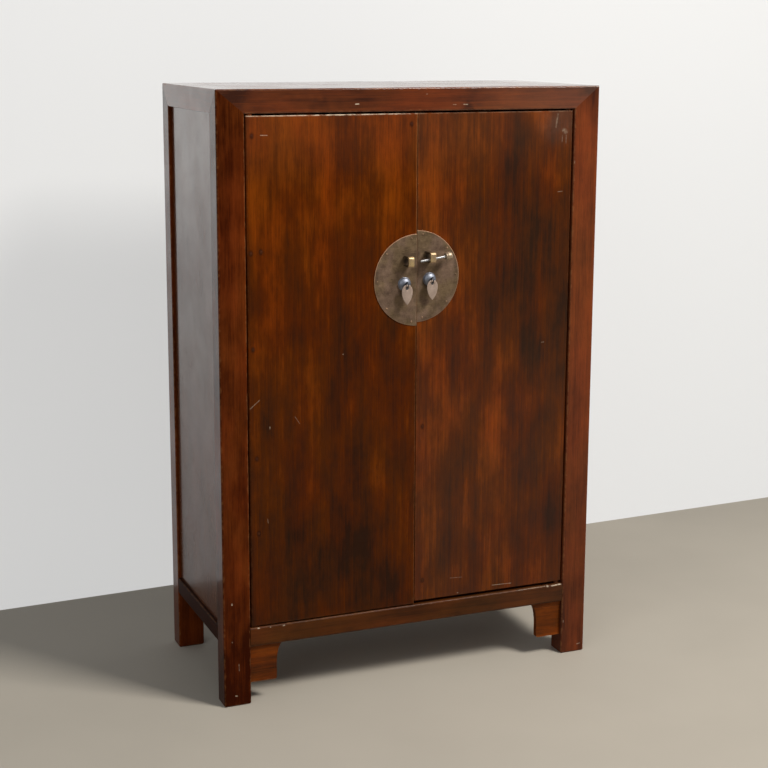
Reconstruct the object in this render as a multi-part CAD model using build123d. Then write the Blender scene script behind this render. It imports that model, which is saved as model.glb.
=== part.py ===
from build123d import *
import math
import os

# Floor-standing two-door wooden cabinet with square corners and pivot-hung doors.
# Millimetres. +X is the viewer's right, +Y runs to the back, +Z is up.
# The origin is on the floor, under the middle of the whole footprint, hardware included.

# Overall size of the wooden case
width = 760.0
depth = 360.0
height = 1138.0

# Corner posts, which run down to the floor as legs
post_width = 52.0
post_depth = 42.0
arris_radius = 3.0
foot_chamfer = 2.0

# Top frame, joined to the posts by three-way mitres
top_rail_height = 43.0
corner_tenon_size = 12.0
corner_tenon_cover = 13.0
corner_tenon_inset = 16.0

# Bottom rails
bottom_rail_top = 149.0
front_rail_height = 38.0
side_rail_height = 32.0
side_rail_thickness = 34.0
front_rail_rounding = 5.0
tenon_thickness = 12.0
tenon_length = 24.0
tenon_shoulder = 5.0
side_tenon_setback = 8.0

# Panels and boards
panel_thickness = 12.0
panel_recess = 6.0
panel_groove = 8.0
shrinkage_gap = 1.0
back_board_thickness = 10.0
back_board_recess = 6.0
back_board_places = ("left", "middle", "right")
top_board_thickness = 14.0
floor_level = 140.0
floor_board_thickness = 12.0
tongue_thickness = 6.0
tongue_depth = 6.0

# Battens, each with a dovetail key let into the boards it holds flat
batten_width = 34.0
batten_thickness = 18.0
cross_batten_offset = 112.0
floor_batten_thickness = 14.0
batten_tenon = 10.0
batten_tenon_shoulder = 3.0
dovetail_depth = 4.0
dovetail_neck = 20.0
dovetail_flare = 2.0

# Inner shelf
shelf_level = 520.0
shelf_thickness = 14.0
shelf_rail_height = 32.0
shelf_rail_depth = 26.0
shelf_end_gap = 2.0
shelf_tenon = 12.0
shelf_tenon_thickness = 6.0

# Brackets between the front legs and the bottom rail
bracket_width = 53.0
bracket_drop = 72.0
bracket_thickness = 11.0
bracket_setback = 8.0
bracket_cove_reach = 14.0
bracket_cove_drop = 44.0
bracket_corner = 4.0
bracket_tongue = 8.0
bracket_tongue_shoulder = 6.0

# Doors
door_thickness = 20.0
door_side_gap = 2.0
door_meeting_gap = 2.0
meeting_offset = 3.2
door_top_gap = 3.5
left_door_recess = 0.5
right_door_recess = 3.5
left_door_lift = 2.0
right_door_lift = 5.5
door_stile_width = 46.0
door_edge_rounding = 1.5
door_batten_thickness = 14.0
door_batten_end_inset = 24.0
door_batten_margin = 110.0
door_swing_gap = 0.6

# Wooden pivots at the hinge edge of each door
pivot_radius = 6.0
pivot_inset = 8.0
pivot_length = 14.0
pivot_clearance = 0.08
pivot_end_gap = 0.3
pivot_lift_room = 5.0
hinge_edge_rounding = 4.0

# Round lock plate, in two halves
plate_radius = 86.0
plate_thickness = 1.6
plate_bevel = 0.5
plate_below_top = 347.4
left_plate_drop = 6.0

# Plate nails: angles from the top of each half, measured round its rim
nail_angles = (8.0, 50.0, 90.0, 130.0, 172.0)
nail_rim_inset = 7.0
nail_head_radius = 1.9
nail_head_height = 1.0
nail_head_rounding = 0.8
nail_shank_radius = 0.8
nail_length = 12.0

# Staples that take the lock pin
staple_offset = 22.0
staple_rise = 37.0
staple_width = 11.0
staple_inner_height = 13.6
staple_inner_reach = 4.5
staple_bend = 1.5
strap_thickness = 3.0
loop_reach = 18.0
clinch_length = 14.0

# Pulls: a domed boss, an eye and a leaf-shaped pendant
pull_offset = 26.0
pull_drop = 6.3
boss_radius = 13.0
boss_height = 9.0
eye_radius = 5.0
eye_wire_radius = 1.1
eye_shank_radius = 1.8
pendant_length = 38.0
pendant_half_width = 10.8
pendant_shoulder_drop = 13.0
pendant_thickness = 2.2
pendant_hole_radius = 2.6
pendant_hole_below_top = 7.0
pendant_edge = 0.4
hang_clearance = 0.3

# Lock pin, drawn back to the edge of the left door so that either door can open
pin_radius = 2.0
pin_tip_rounding = 1.0
pin_engagement = 5.0
pin_pull_room = 5.0
pin_running_gap = 0.3
pin_head_radius = 7.5
pin_head_length = 14.0
pin_head_gap = 1.0
pin_head_rounding = 4.0
pin_head_bore_depth = 10.0

# Places that follow from the sizes above
front_reach = loop_reach + max(pin_head_radius, staple_inner_reach + strap_thickness)
front = (front_reach - depth) / 2
back = front + depth
half_width = width / 2
post_inner = half_width - post_width
post_back = front + post_depth
back_post_front = back - post_depth
rail_underside = height - top_rail_height
front_rail_bottom = bottom_rail_top - front_rail_height
side_rail_bottom = bottom_rail_top - side_rail_height
side_rail_inner = half_width - side_rail_thickness
panel_outer = half_width - panel_recess
panel_inner = panel_outer - panel_thickness
top_board_bottom = height - top_board_thickness
floor_underside = floor_level - floor_board_thickness
shelf_underside = shelf_level - shelf_thickness
door_swing_radius = math.hypot(pivot_inset, door_thickness - pivot_inset)
deepest_pivot_y = front + max(left_door_recess, right_door_recess) + pivot_inset
shelf_rail_front = deepest_pivot_y + door_swing_radius + door_swing_gap
shelf_rail_back = shelf_rail_front + shelf_rail_depth
back_board_back = back - back_board_recess
back_board_front = back_board_back - back_board_thickness
door_top = rail_underside - door_top_gap
door_outer = post_inner - door_side_gap
door_inner = door_meeting_gap / 2
pivot_x = door_outer - pivot_inset
plate_centre = height - plate_below_top
left_plate_centre = plate_centre - left_plate_drop
lowest_clinch = left_plate_centre - pull_drop - clinch_length
loop_y = front - loop_reach
beyond = 50.0

parts = {}


def block(x, y, z):
    """A box between two limits on each axis."""
    centre = Pos(sum(x) / 2, sum(y) / 2, sum(z) / 2)
    return centre * Box(x[1] - x[0], y[1] - y[0], z[1] - z[0])


def prism(outline, axis, low, high):
    """A straight prism; the outline's points lie in the plane across the axis."""
    if axis == Axis.X:
        points = [(low, a, b) for a, b in outline]
    elif axis == Axis.Y:
        points = [(a, low, b) for a, b in outline]
    else:
        points = [(a, b, low) for a, b in outline]
    face = Face(Wire.make_polygon(points))
    return extrude(face, amount=high - low, dir=axis.direction)


def rod(radius, axis, low, high, a, b):
    """A round bar along an axis, through the point (a, b) of the plane across it."""
    length = high - low
    middle = (low + high) / 2
    bar = Cylinder(radius, length)
    if axis == Axis.X:
        return Pos(middle, a, b) * Rot(0, 90, 0) * bar
    if axis == Axis.Y:
        return Pos(a, middle, b) * Rot(90, 0, 0) * bar
    return Pos(a, b, middle) * bar


def mirrored(shape):
    """The same piece on the other side of the cabinet."""
    return mirror(shape, about=Plane.YZ)


def mirrored_back(shape):
    """The same piece at the back of the case."""
    return mirror(shape, about=Plane.XZ.offset(-(front + back) / 2))


def cut(shape, *cutters):
    """Let other pieces into this one."""
    for cutter in cutters:
        shape = shape - cutter
    return shape


def group(shapes):
    """Like pieces that share a node as separate solids."""
    return Compound([solid for shape in shapes for solid in shape.solids()])


def dovetail_section(centre, face, thickness, inward):
    """Section of a batten with a dovetail key, as (across, depth) points.

    centre is its middle across its length, face is where it meets the boards,
    and inward is the sign of the way from the boards into the batten.
    """
    half = batten_width / 2
    neck = dovetail_neck / 2
    flare = neck + dovetail_flare
    body_side = face + inward * thickness
    key_side = face - inward * dovetail_depth
    return [
        (centre - half, body_side),
        (centre + half, body_side),
        (centre + half, face),
        (centre + neck, face),
        (centre + flare, key_side),
        (centre - flare, key_side),
        (centre - neck, face),
        (centre - half, face),
    ]


def turned(outline):
    """The same outline with its two directions exchanged."""
    return [(b, a) for a, b in outline]


# Right front corner, seen from outside: the corner block that the three members share
outer_right = (half_width, front, height)
inner_right = (post_inner, post_back, rail_underside)


def mitre(keep):
    """The two wedges that the named member loses in the right front corner block."""
    ox, oy, oz = outer_right
    ix, iy, iz = inner_right
    far = beyond
    post_side_xz = [(ox, oz), (ox, iz), (ix, iz)]
    rail_side_xz = [(ox, oz), (ix, oz), (ix, iz)]
    post_side_yz = [(oy, oz), (oy, iz), (iy, iz)]
    rail_side_yz = [(oy, oz), (iy, oz), (iy, iz)]
    front_side_xy = [(ox, oy), (ix, oy), (ix, iy)]
    side_side_xy = [(ox, oy), (ox, iy), (ix, iy)]
    if keep == "post":
        return [
            prism(rail_side_xz, Axis.Y, oy - far, iy + far),
            prism(rail_side_yz, Axis.X, ix - far, ox + far),
        ]
    if keep == "front":
        return [
            prism(post_side_xz, Axis.Y, oy - far, iy + far),
            prism(side_side_xy, Axis.Z, iz - far, oz + far),
        ]
    return [
        prism(post_side_yz, Axis.X, ix - far, ox + far),
        prism(front_side_xy, Axis.Z, iz - far, oz + far),
    ]


def corner_tenon():
    """Stub tenon on top of the right front post, hidden inside the mitred corner."""
    x = half_width - corner_tenon_inset
    y = front + corner_tenon_inset
    return block(
        (x - corner_tenon_size, x),
        (y, y + corner_tenon_size),
        (rail_underside - panel_groove, height - corner_tenon_cover),
    )


def every_corner(shape):
    """The right front piece and its three mirror images."""
    back_shape = mirrored_back(shape)
    return [shape, mirrored(shape), back_shape, mirrored(back_shape)]


# Panels and boards of the case, drawn full size and let into the members below

def side_panel():
    return block(
        (panel_inner, panel_outer),
        (post_back - panel_groove, back_post_front + panel_groove),
        (bottom_rail_top - panel_groove, rail_underside + panel_groove),
    )


def side_panel_room():
    """The groove for a side panel, with room for the panel to swell."""
    return block(
        (panel_inner, panel_outer),
        (post_back - panel_groove - shrinkage_gap, back_post_front + panel_groove + shrinkage_gap),
        (bottom_rail_top - panel_groove, rail_underside + panel_groove),
    )


def back_boards():
    """Upright boards with a tongue on one edge of each, side by side."""
    low = -post_inner - panel_groove
    pitch = 2 * (post_inner + panel_groove) / len(back_board_places)
    z = (bottom_rail_top - panel_groove, rail_underside + panel_groove)
    middle = (back_board_front + back_board_back) / 2
    tongue_y = (middle - tongue_thickness / 2, middle + tongue_thickness / 2)
    last = len(back_board_places) - 1
    boards = {}
    for index, place in enumerate(back_board_places):
        left = low + index * pitch
        right = left + pitch
        board = block((left, right), (back_board_front, back_board_back), z)
        if index > 0:
            board = cut(board, block((left, left + tongue_depth), tongue_y, z))
        if index < last:
            board = board + block((right, right + tongue_depth), tongue_y, z)
        boards["back_board_" + place] = board
    return boards


def back_room():
    """The groove for the back boards."""
    reach = post_inner + panel_groove + shrinkage_gap
    return block(
        (-reach, reach),
        (back_board_front, back_board_back),
        (bottom_rail_top - panel_groove, rail_underside + panel_groove),
    )


def flat_boards(x_end, y_low, y_high, bottom, top, end_tongue):
    """A front and a back board with tongues along the edges that meet the frame."""
    middle = (y_low + y_high) / 2
    tongue_z = (bottom, bottom + tongue_thickness)
    reach = x_end + end_tongue
    boards = []
    for low, high, edge in ((y_low, middle, -1), (middle, y_high, 1)):
        board = block((-x_end, x_end), (low, high), (bottom, top))
        side = y_low - tongue_depth if edge < 0 else y_high
        board = board + block((-post_inner, post_inner), (side, side + tongue_depth), tongue_z)
        if end_tongue:
            board = board + block((-reach, reach), (low, high), tongue_z)
        boards.append(board)
    return boards


# Case: battens first, because the panels and the rails are cut to them

def cross_battens(face, thickness, inward):
    """Two battens that run from the front rail to the back rail, with a tenon at each end."""
    shoulder = batten_tenon_shoulder
    middle = face + inward * thickness / 2
    tenon_half = thickness / 2 - shoulder
    battens = []
    for x in (-cross_batten_offset, cross_batten_offset):
        section = dovetail_section(x, face, thickness, inward)
        body = prism(section, Axis.Y, post_back, back_post_front)
        tenon = block(
            (x - batten_width / 2 + shoulder, x + batten_width / 2 - shoulder),
            (post_back - batten_tenon, back_post_front + batten_tenon),
            (middle - tenon_half, middle + tenon_half),
        )
        battens.append(body + tenon)
    return battens


def side_battens():
    """Two battens across the inside of the right panel; the lower one carries the shelf."""
    bearing = shelf_underside - batten_width / 2
    upper = (shelf_level + rail_underside) / 2
    shoulder = batten_tenon_shoulder
    half = batten_width / 2
    inner = panel_inner - batten_thickness
    battens = []
    for z in (bearing, upper):
        section = turned(dovetail_section(z, panel_inner, batten_thickness, -1))
        body = prism(section, Axis.Y, post_back, back_post_front)
        tenon = block(
            (inner + shoulder, panel_inner - shoulder),
            (post_back - batten_tenon, back_post_front + batten_tenon),
            (z - half + shoulder, z + half - shoulder),
        )
        battens.append(body + tenon)
    return battens


top_battens = cross_battens(top_board_bottom, batten_thickness, -1)
floor_battens = cross_battens(floor_underside, floor_batten_thickness, -1)
right_side_battens = side_battens()
left_side_battens = [mirrored(piece) for piece in right_side_battens]

top_boards = flat_boards(post_inner, post_back, back_post_front, top_board_bottom, height, tongue_depth)
floor_boards = flat_boards(
    side_rail_inner, post_back, back_post_front, floor_underside, floor_level, tongue_depth
)
shelf_boards = flat_boards(
    panel_inner - shelf_end_gap, shelf_rail_back, back_post_front, shelf_underside, shelf_level, 0
)


# Case: rails

def rail_tenon(y_middle, z_low, z_high, length, thickness):
    """One through-shaped tenon block for both ends of a rail that runs along X."""
    return block(
        (-post_inner - length, post_inner + length),
        (y_middle - thickness / 2, y_middle + thickness / 2),
        (z_low, z_high),
    )


def bottom_front_rail():
    rail = block((-post_inner, post_inner), (front, post_back), (front_rail_bottom, bottom_rail_top))
    rail = fillet(rail.edges().filter_by(Axis.X).group_by(Axis.Y)[0], front_rail_rounding)
    return rail + rail_tenon(
        (front + post_back) / 2,
        front_rail_bottom + tenon_shoulder,
        bottom_rail_top - panel_groove - tenon_shoulder,
        tenon_length,
        tenon_thickness,
    )


def bottom_back_rail():
    rail = block((-post_inner, post_inner), (back_post_front, back), (front_rail_bottom, bottom_rail_top))
    rail = fillet(rail.edges().filter_by(Axis.X).group_by(Axis.Y)[-1], arris_radius)
    return rail + rail_tenon(
        (back_post_front + back) / 2,
        front_rail_bottom + tenon_shoulder,
        bottom_rail_top - panel_groove - tenon_shoulder,
        tenon_length,
        tenon_thickness,
    )


def bottom_side_rail():
    rail = block(
        (side_rail_inner, half_width),
        (post_back, back_post_front),
        (side_rail_bottom, bottom_rail_top),
    )
    rail = fillet(rail.edges().filter_by(Axis.Y).group_by(Axis.X)[-1], arris_radius)
    tenon = block(
        (half_width - side_tenon_setback - tenon_thickness, half_width - side_tenon_setback),
        (post_back - tenon_length, back_post_front + tenon_length),
        (side_rail_bottom + tenon_shoulder, bottom_rail_top - panel_groove - tenon_shoulder),
    )
    return rail + tenon


def shelf_rail(y_low, y_high, tenon_y):
    z = (shelf_level - shelf_rail_height, shelf_level)
    rail = block((-post_inner, post_inner), (y_low, y_high), z)
    return rail + rail_tenon(
        tenon_y, z[0] + tenon_shoulder, z[1] - tenon_shoulder, shelf_tenon, shelf_tenon_thickness
    )


def top_front_rail():
    rail = block((-half_width, half_width), (front, post_back), (rail_underside, height))
    rail = fillet(rail.edges().filter_by(Axis.X).group_by(Axis.Y)[0], arris_radius)
    for wedge in mitre("front"):
        rail = cut(rail, wedge, mirrored(wedge))
    return rail


def top_side_rail():
    rail = block((post_inner, half_width), (front, back), (rail_underside, height))
    rail = fillet(rail.edges().filter_by(Axis.Y).group_by(Axis.X)[-1], arris_radius)
    for wedge in mitre("side"):
        rail = cut(rail, wedge, mirrored_back(wedge))
    return rail


corner_tenons = every_corner(corner_tenon())
front_rail = bottom_front_rail()
back_rail = bottom_back_rail()
right_rail = bottom_side_rail()
left_rail = mirrored(right_rail)
shelf_front = shelf_rail(shelf_rail_front, shelf_rail_back, (shelf_rail_front + post_back) / 2)
shelf_back = shelf_rail(back_post_front, back_board_front, (back_post_front + back_board_front) / 2)
right_panel = side_panel()
left_panel = mirrored(right_panel)
right_room = side_panel_room()
left_room = mirrored(right_room)


# Brackets

def bracket():
    """Right bracket: a board below the rail with a long cove where it runs into it."""
    y = (front + bracket_setback, front + bracket_setback + bracket_thickness)
    low = front_rail_bottom - bracket_drop
    edge = post_inner - bracket_width
    board = block((edge, post_inner), y, (low, front_rail_bottom))
    lower_corner = board.edges().filter_by(Axis.Y).group_by(Axis.X)[0].sort_by(Axis.Z)[0]
    board = fillet(lower_corner, bracket_corner)
    middle = sum(y) / 2
    cove_end = front_rail_bottom - bracket_cove_drop
    cove = block((edge - bracket_cove_reach, edge), y, (cove_end, front_rail_bottom))
    oval = Rot(90, 0, 0) * Ellipse(bracket_cove_reach, bracket_cove_drop)
    hollow = extrude(oval, amount=bracket_thickness, dir=(0, 1, 0), both=True)
    hollow = Pos(edge - bracket_cove_reach, middle, cove_end) * hollow
    tongue = block(
        (post_inner, post_inner + bracket_tongue),
        (middle - tongue_thickness / 2, middle + tongue_thickness / 2),
        (low + bracket_tongue_shoulder, front_rail_bottom - bracket_tongue_shoulder),
    )
    return board + (cove - hollow) + tongue


right_bracket = bracket()
left_bracket = mirrored(right_bracket)


# Posts

def post():
    """Right front post before its mortises: rounded arrises, mitred head, stub tenon."""
    leg = block((post_inner, half_width), (front, post_back), (0, height))
    leg = fillet(leg.edges().filter_by(Axis.Z), arris_radius)
    leg = chamfer(leg.faces().sort_by(Axis.Z)[0].edges(), foot_chamfer)
    leg = cut(leg, *mitre("post"))
    return leg + corner_tenon()


post_right_front, post_left_front, post_right_back, post_left_back = every_corner(post())
front_lets = (front_rail, shelf_front)
back_lets = (back_rail, shelf_back, back_room())

parts["front_right_post"] = cut(
    post_right_front, *front_lets, right_rail, right_room, right_bracket, *right_side_battens
)
parts["front_left_post"] = cut(
    post_left_front, *front_lets, left_rail, left_room, left_bracket, *left_side_battens
)
parts["back_right_post"] = cut(post_right_back, *back_lets, right_rail, right_room, *right_side_battens)
parts["back_left_post"] = cut(post_left_back, *back_lets, left_rail, left_room, *left_side_battens)


# Door sockets are bored in the rails, on the same centres as the pivots

def pivot_centre(recess):
    return pivot_x, front + recess + pivot_inset


def sockets(recess, low, high):
    """Bores for the right door's pivots between two heights."""
    x, y = pivot_centre(recess)
    return rod(pivot_radius + pivot_clearance, Axis.Z, low, high, x, y)


top_socket_end = rail_underside + pivot_length + pivot_lift_room
bottom_socket_end = bottom_rail_top - pivot_length - pivot_end_gap

upper_front_rail = cut(
    top_front_rail(),
    *corner_tenons,
    *top_boards,
    *top_battens,
    right_room,
    left_room,
    sockets(right_door_recess, rail_underside - beyond, top_socket_end),
    mirrored(sockets(left_door_recess, rail_underside - beyond, top_socket_end)),
)
upper_side_rail = cut(
    top_side_rail(), *corner_tenons, *top_boards, right_room, back_room()
)
parts["top_front_rail"] = upper_front_rail
parts["top_back_rail"] = cut(
    mirrored_back(top_front_rail()),
    *corner_tenons,
    *top_boards,
    *top_battens,
    right_room,
    left_room,
    back_room(),
)
parts["top_right_rail"] = upper_side_rail
parts["top_left_rail"] = mirrored(upper_side_rail)

parts["bottom_front_rail"] = cut(
    front_rail,
    *floor_boards,
    *floor_battens,
    sockets(right_door_recess, bottom_socket_end, bottom_rail_top + beyond),
    mirrored(sockets(left_door_recess, bottom_socket_end, bottom_rail_top + beyond)),
)
parts["bottom_back_rail"] = cut(back_rail, *floor_boards, *floor_battens, back_room())
lower_side_rail = cut(right_rail, *floor_boards, right_room)
parts["bottom_right_rail"] = lower_side_rail
parts["bottom_left_rail"] = mirrored(lower_side_rail)

parts["top_board_front"] = cut(top_boards[0], *top_battens)
parts["top_board_back"] = cut(top_boards[1], *top_battens)
parts["top_battens"] = group(top_battens)
parts["floor_board_front"] = cut(floor_boards[0], *floor_battens)
parts["floor_board_back"] = cut(floor_boards[1], *floor_battens)
parts["floor_battens"] = group(floor_battens)
parts["right_side_panel"] = cut(right_panel, *right_side_battens)
parts["left_side_panel"] = cut(left_panel, *left_side_battens)
parts["right_side_battens"] = group(right_side_battens)
parts["left_side_battens"] = group(left_side_battens)
parts.update(back_boards())
parts["shelf_front_rail"] = cut(shelf_front, *shelf_boards)
parts["shelf_back_rail"] = cut(shelf_back, *shelf_boards)
parts["shelf_board_front"] = shelf_boards[0]
parts["shelf_board_back"] = shelf_boards[1]
parts["right_bracket"] = right_bracket
parts["left_bracket"] = left_bracket


# Hardware of the right door, and by mirroring of the left one, with the meeting line at X = 0

def half_plate(face, centre):
    """Half of the round lock plate, bevelled along its front rim."""
    disc = rod(plate_radius, Axis.Y, face - plate_thickness, face, 0, centre)
    disc = chamfer(disc.edges().filter_by(GeomType.CIRCLE).sort_by(Axis.Y)[0], plate_bevel)
    half = block(
        (door_inner, plate_radius + beyond),
        (face - plate_thickness - beyond, face),
        (centre - plate_radius - beyond, centre + plate_radius + beyond),
    )
    return disc & half


def plate_nails(face, centre):
    """Small domed nails round the rim of the half plate."""
    ring = plate_radius - nail_rim_inset
    plate_front = face - plate_thickness
    nails = []
    for angle in nail_angles:
        x = door_inner + ring * math.sin(math.radians(angle))
        z = centre + ring * math.cos(math.radians(angle))
        head = rod(nail_head_radius, Axis.Y, plate_front - nail_head_height, plate_front, x, z)
        rim = head.edges().filter_by(GeomType.CIRCLE).sort_by(Axis.Y)[0]
        head = fillet(rim, nail_head_rounding)
        shank = rod(nail_shank_radius, Axis.Y, plate_front, plate_front + nail_length, x, z)
        nails.append(head + shank)
    return nails


def staple(back_face, centre):
    """A strap bent into a flat-fronted loop; its tails pass through the door and are clinched inside."""
    inner = staple_inner_height / 2
    outer = inner + strap_thickness
    inner_front = loop_y - staple_inner_reach
    tail_back = back_face + strap_thickness
    x = (staple_offset - staple_width / 2, staple_offset + staple_width / 2)
    loop = block(x, (inner_front - strap_thickness, tail_back), (centre - outer, centre + outer))
    loop_corners = loop.edges().filter_by(Axis.X).group_by(Axis.Y)[0]
    loop = fillet(loop_corners, staple_bend + strap_thickness)
    room = block(x, (inner_front, tail_back + beyond), (centre - inner, centre + inner))
    room_corners = room.edges().filter_by(Axis.X).group_by(Axis.Y)[0]
    strap = loop - fillet(room_corners, staple_bend)
    for side in (-1, 1):
        tip = sorted((centre + side * inner, centre + side * (outer + clinch_length)))
        strap = strap + block(x, (back_face, tail_back), tip)
    return strap


def boss(plate_front, centre):
    """Domed boss, a cap of a sphere that sits on the plate."""
    ball_radius = (boss_radius**2 + boss_height**2) / (2 * boss_height)
    middle = plate_front - boss_height + ball_radius
    ball = Pos(pull_offset, middle, centre) * Sphere(ball_radius)
    reach = ball_radius + beyond
    half = block(
        (pull_offset - reach, pull_offset + reach),
        (plate_front - reach, plate_front),
        (centre - reach, centre + reach),
    )
    return ball & half


def eye_centre_y(plate_front):
    return plate_front - boss_height - eye_radius


def pull_eye(plate_front, back_face, centre):
    """Ring with a shank through boss, plate and door, its two ends spread on the inside."""
    y = eye_centre_y(plate_front)
    ring = Pos(pull_offset, y, centre) * Rot(0, 90, 0) * Torus(eye_radius, eye_wire_radius)
    shank = rod(eye_shank_radius, Axis.Y, y + eye_radius, back_face, pull_offset, centre)
    spread = rod(
        eye_wire_radius,
        Axis.Z,
        centre - clinch_length,
        centre + clinch_length,
        pull_offset,
        back_face + eye_wire_radius,
    )
    foot = rod(
        eye_shank_radius, Axis.Y, back_face, back_face + eye_wire_radius, pull_offset, centre
    )
    return ring + shank + foot + spread


def pendant(plate_front, centre):
    """Leaf-shaped pendant, round above and pointed below, that hangs from the eye by a hole."""
    y = eye_centre_y(plate_front)
    slack = pendant_hole_radius - eye_wire_radius - hang_clearance
    hole_z = centre - eye_radius - slack
    widest = hole_z + pendant_hole_below_top - pendant_shoulder_drop
    taper = pendant_length - pendant_shoulder_drop
    side_radius = (pendant_half_width**2 + taper**2) / (2 * pendant_half_width)
    half_angle = math.asin(taper / side_radius) / 2
    side_out = pendant_half_width - side_radius * (1 - math.cos(half_angle))
    side_down = side_radius * math.sin(half_angle)
    crown = EllipticalCenterArc((0, 0), pendant_half_width, pendant_shoulder_drop, arc_size=180)
    left = ThreePointArc((-pendant_half_width, 0), (-side_out, -side_down), (0, -taper))
    right = ThreePointArc((0, -taper), (side_out, -side_down), (pendant_half_width, 0))
    outline = Pos(pull_offset, y, widest) * Rot(90, 0, 0) * make_face([crown, left, right])
    leaf = extrude(outline, amount=pendant_thickness / 2, dir=(0, 1, 0), both=True)
    rims = leaf.faces().sort_by(Axis.Y)[0].edges() + leaf.faces().sort_by(Axis.Y)[-1].edges()
    leaf = chamfer(rims, pendant_edge)
    hole = rod(
        pendant_hole_radius, Axis.Y, y - pendant_thickness, y + pendant_thickness, pull_offset, hole_z
    )
    return leaf - hole


def door(recess, lift, centre, meeting):
    """All the pieces of the right door, for its recess, its lift off the rail, its plate and its meeting line."""
    at_meeting = Pos(meeting, 0, 0)
    inner = meeting + door_inner
    face = front + recess
    back_face = face + door_thickness
    bottom = bottom_rail_top + lift
    plate_front = face - plate_thickness
    pivot = pivot_centre(recess)

    leaf = block((inner, door_outer), (face, back_face), (bottom, door_top))
    upright = leaf.edges().filter_by(Axis.Z).group_by(Axis.Y)[0].sort_by(Axis.X)
    leaf = fillet(upright[-1], hinge_edge_rounding)
    upright = leaf.edges().filter_by(Axis.Z).group_by(Axis.Y)[0].sort_by(Axis.X)
    leaf = fillet(upright[0], door_edge_rounding)
    for level, inward in ((door_top, -1), (bottom, 1)):
        ease = [
            (face, level),
            (face + door_edge_rounding, level),
            (face, level + inward * door_edge_rounding),
        ]
        leaf = cut(leaf, prism(ease, Axis.X, inner - beyond, door_outer + beyond))

    tails = at_meeting * staple(back_face, centre + staple_rise)
    eye = at_meeting * pull_eye(plate_front, back_face, centre - pull_drop)
    nails = [at_meeting * nail for nail in plate_nails(face, centre)]

    stile_inner = inner + door_stile_width
    stile_outer = door_outer - door_stile_width
    joint = (stile_inner + stile_outer) / 2
    seams = (inner, stile_inner, joint, stile_outer, door_outer)
    names = ("meeting_stile", "inner_board", "outer_board", "hinge_stile")
    tongue_y = (
        (face + back_face - tongue_thickness) / 2,
        (face + back_face + tongue_thickness) / 2,
    )
    z = (bottom, door_top)

    between_shelf_and_clinch = (shelf_level + lowest_clinch) / 2
    levels = (bottom + door_batten_margin, between_shelf_and_clinch, door_top - door_batten_margin)
    battens = []
    for level in levels:
        section = turned(dovetail_section(level, back_face, door_batten_thickness, 1))
        low = inner + door_batten_end_inset
        high = door_outer - door_batten_end_inset
        battens.append(prism(section, Axis.X, low, high))

    pieces = {}
    for index, name in enumerate(names):
        low, high = seams[index], seams[index + 1]
        board = leaf & block((low, high), (face - beyond, back_face + beyond), z)
        if index > 0:
            board = cut(board, block((low, low + tongue_depth), tongue_y, z))
        if index < len(names) - 1:
            board = board + block((high, high + tongue_depth), tongue_y, z)
        pieces["door_" + name] = cut(board, *battens, tails, eye, *nails)

    upper = rod(pivot_radius, Axis.Z, door_top, rail_underside + pivot_length, *pivot)
    lower = rod(pivot_radius, Axis.Z, bottom_rail_top - pivot_length, bottom, *pivot)
    pieces["door_hinge_stile"] = pieces["door_hinge_stile"] + upper + lower

    pieces["door_battens"] = group(battens)
    pieces["lock_plate"] = cut(at_meeting * half_plate(face, centre), tails, eye, *nails)
    pieces["plate_nails"] = group(nails)
    pieces["staple"] = tails
    pieces["pull_boss"] = cut(at_meeting * boss(plate_front, centre - pull_drop), eye)
    pieces["pull_eye"] = eye
    pieces["pull_pendant"] = at_meeting * pendant(plate_front, centre - pull_drop)
    return pieces


for name, piece in door(right_door_recess, right_door_lift, plate_centre, meeting_offset).items():
    parts["right_" + name] = piece
for name, piece in door(left_door_recess, left_door_lift, left_plate_centre, -meeting_offset).items():
    parts["left_" + name] = mirrored(piece)


# Lock pin: it leans as the line through both loops does, slides level and lies low in the right loop,
# where it stays clear of the strap when it is pulled out a little further.

left_loop = Vector(meeting_offset - staple_offset, loop_y, left_plate_centre + staple_rise)
right_loop = Vector(meeting_offset + staple_offset, loop_y, plate_centre + staple_rise)
pin_slope = (right_loop.Z - left_loop.Z) / (right_loop.X - left_loop.X)
staple_gap = staple_offset - staple_width / 2 - door_inner
pin_travel = staple_gap + pin_engagement
pin_seat_x = right_loop.X - staple_width / 2


def along_pin(x):
    """Distance along the pin for a distance along X."""
    return x * math.hypot(1, pin_slope)


pin_rise = along_pin(pin_radius) + pin_running_gap + pin_pull_room * pin_slope
pin_seat_z = right_loop.Z - staple_inner_height / 2 + pin_rise


def pin_plane(x):
    """Plane across the pin where its axis passes x, facing along the pin to the right."""
    z = pin_seat_z + pin_slope * (x - pin_seat_x)
    return Plane(origin=(x, loop_y, z), x_dir=(0, 1, 0), z_dir=(1, 0, pin_slope))


pin_tip_x = meeting_offset - door_inner
head_start_x = right_loop.X + staple_width / 2 + pin_travel + pin_head_gap
rod_length = along_pin(head_start_x - pin_tip_x) + pin_head_bore_depth
pin_rod = Cylinder(pin_radius, rod_length, align=(Align.CENTER, Align.CENTER, Align.MIN))
pin_rod = fillet(pin_rod.edges().filter_by(GeomType.CIRCLE).sort_by(Axis.Z)[0], pin_tip_rounding)
pin_rod = pin_plane(pin_tip_x) * pin_rod
pin_head = Cylinder(pin_head_radius, pin_head_length, align=(Align.CENTER, Align.CENTER, Align.MIN))
pin_head = fillet(pin_head.edges().filter_by(GeomType.CIRCLE), pin_head_rounding)
pin_head = pin_plane(head_start_x) * pin_head
parts["lock_pin_rod"] = pin_rod
parts["lock_pin_head"] = pin_head - pin_rod


os.makedirs("parts", exist_ok=True)
for name, piece in parts.items():
    export_step(piece, "parts/" + name + ".step")
print(len(parts), "nodes")
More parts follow.
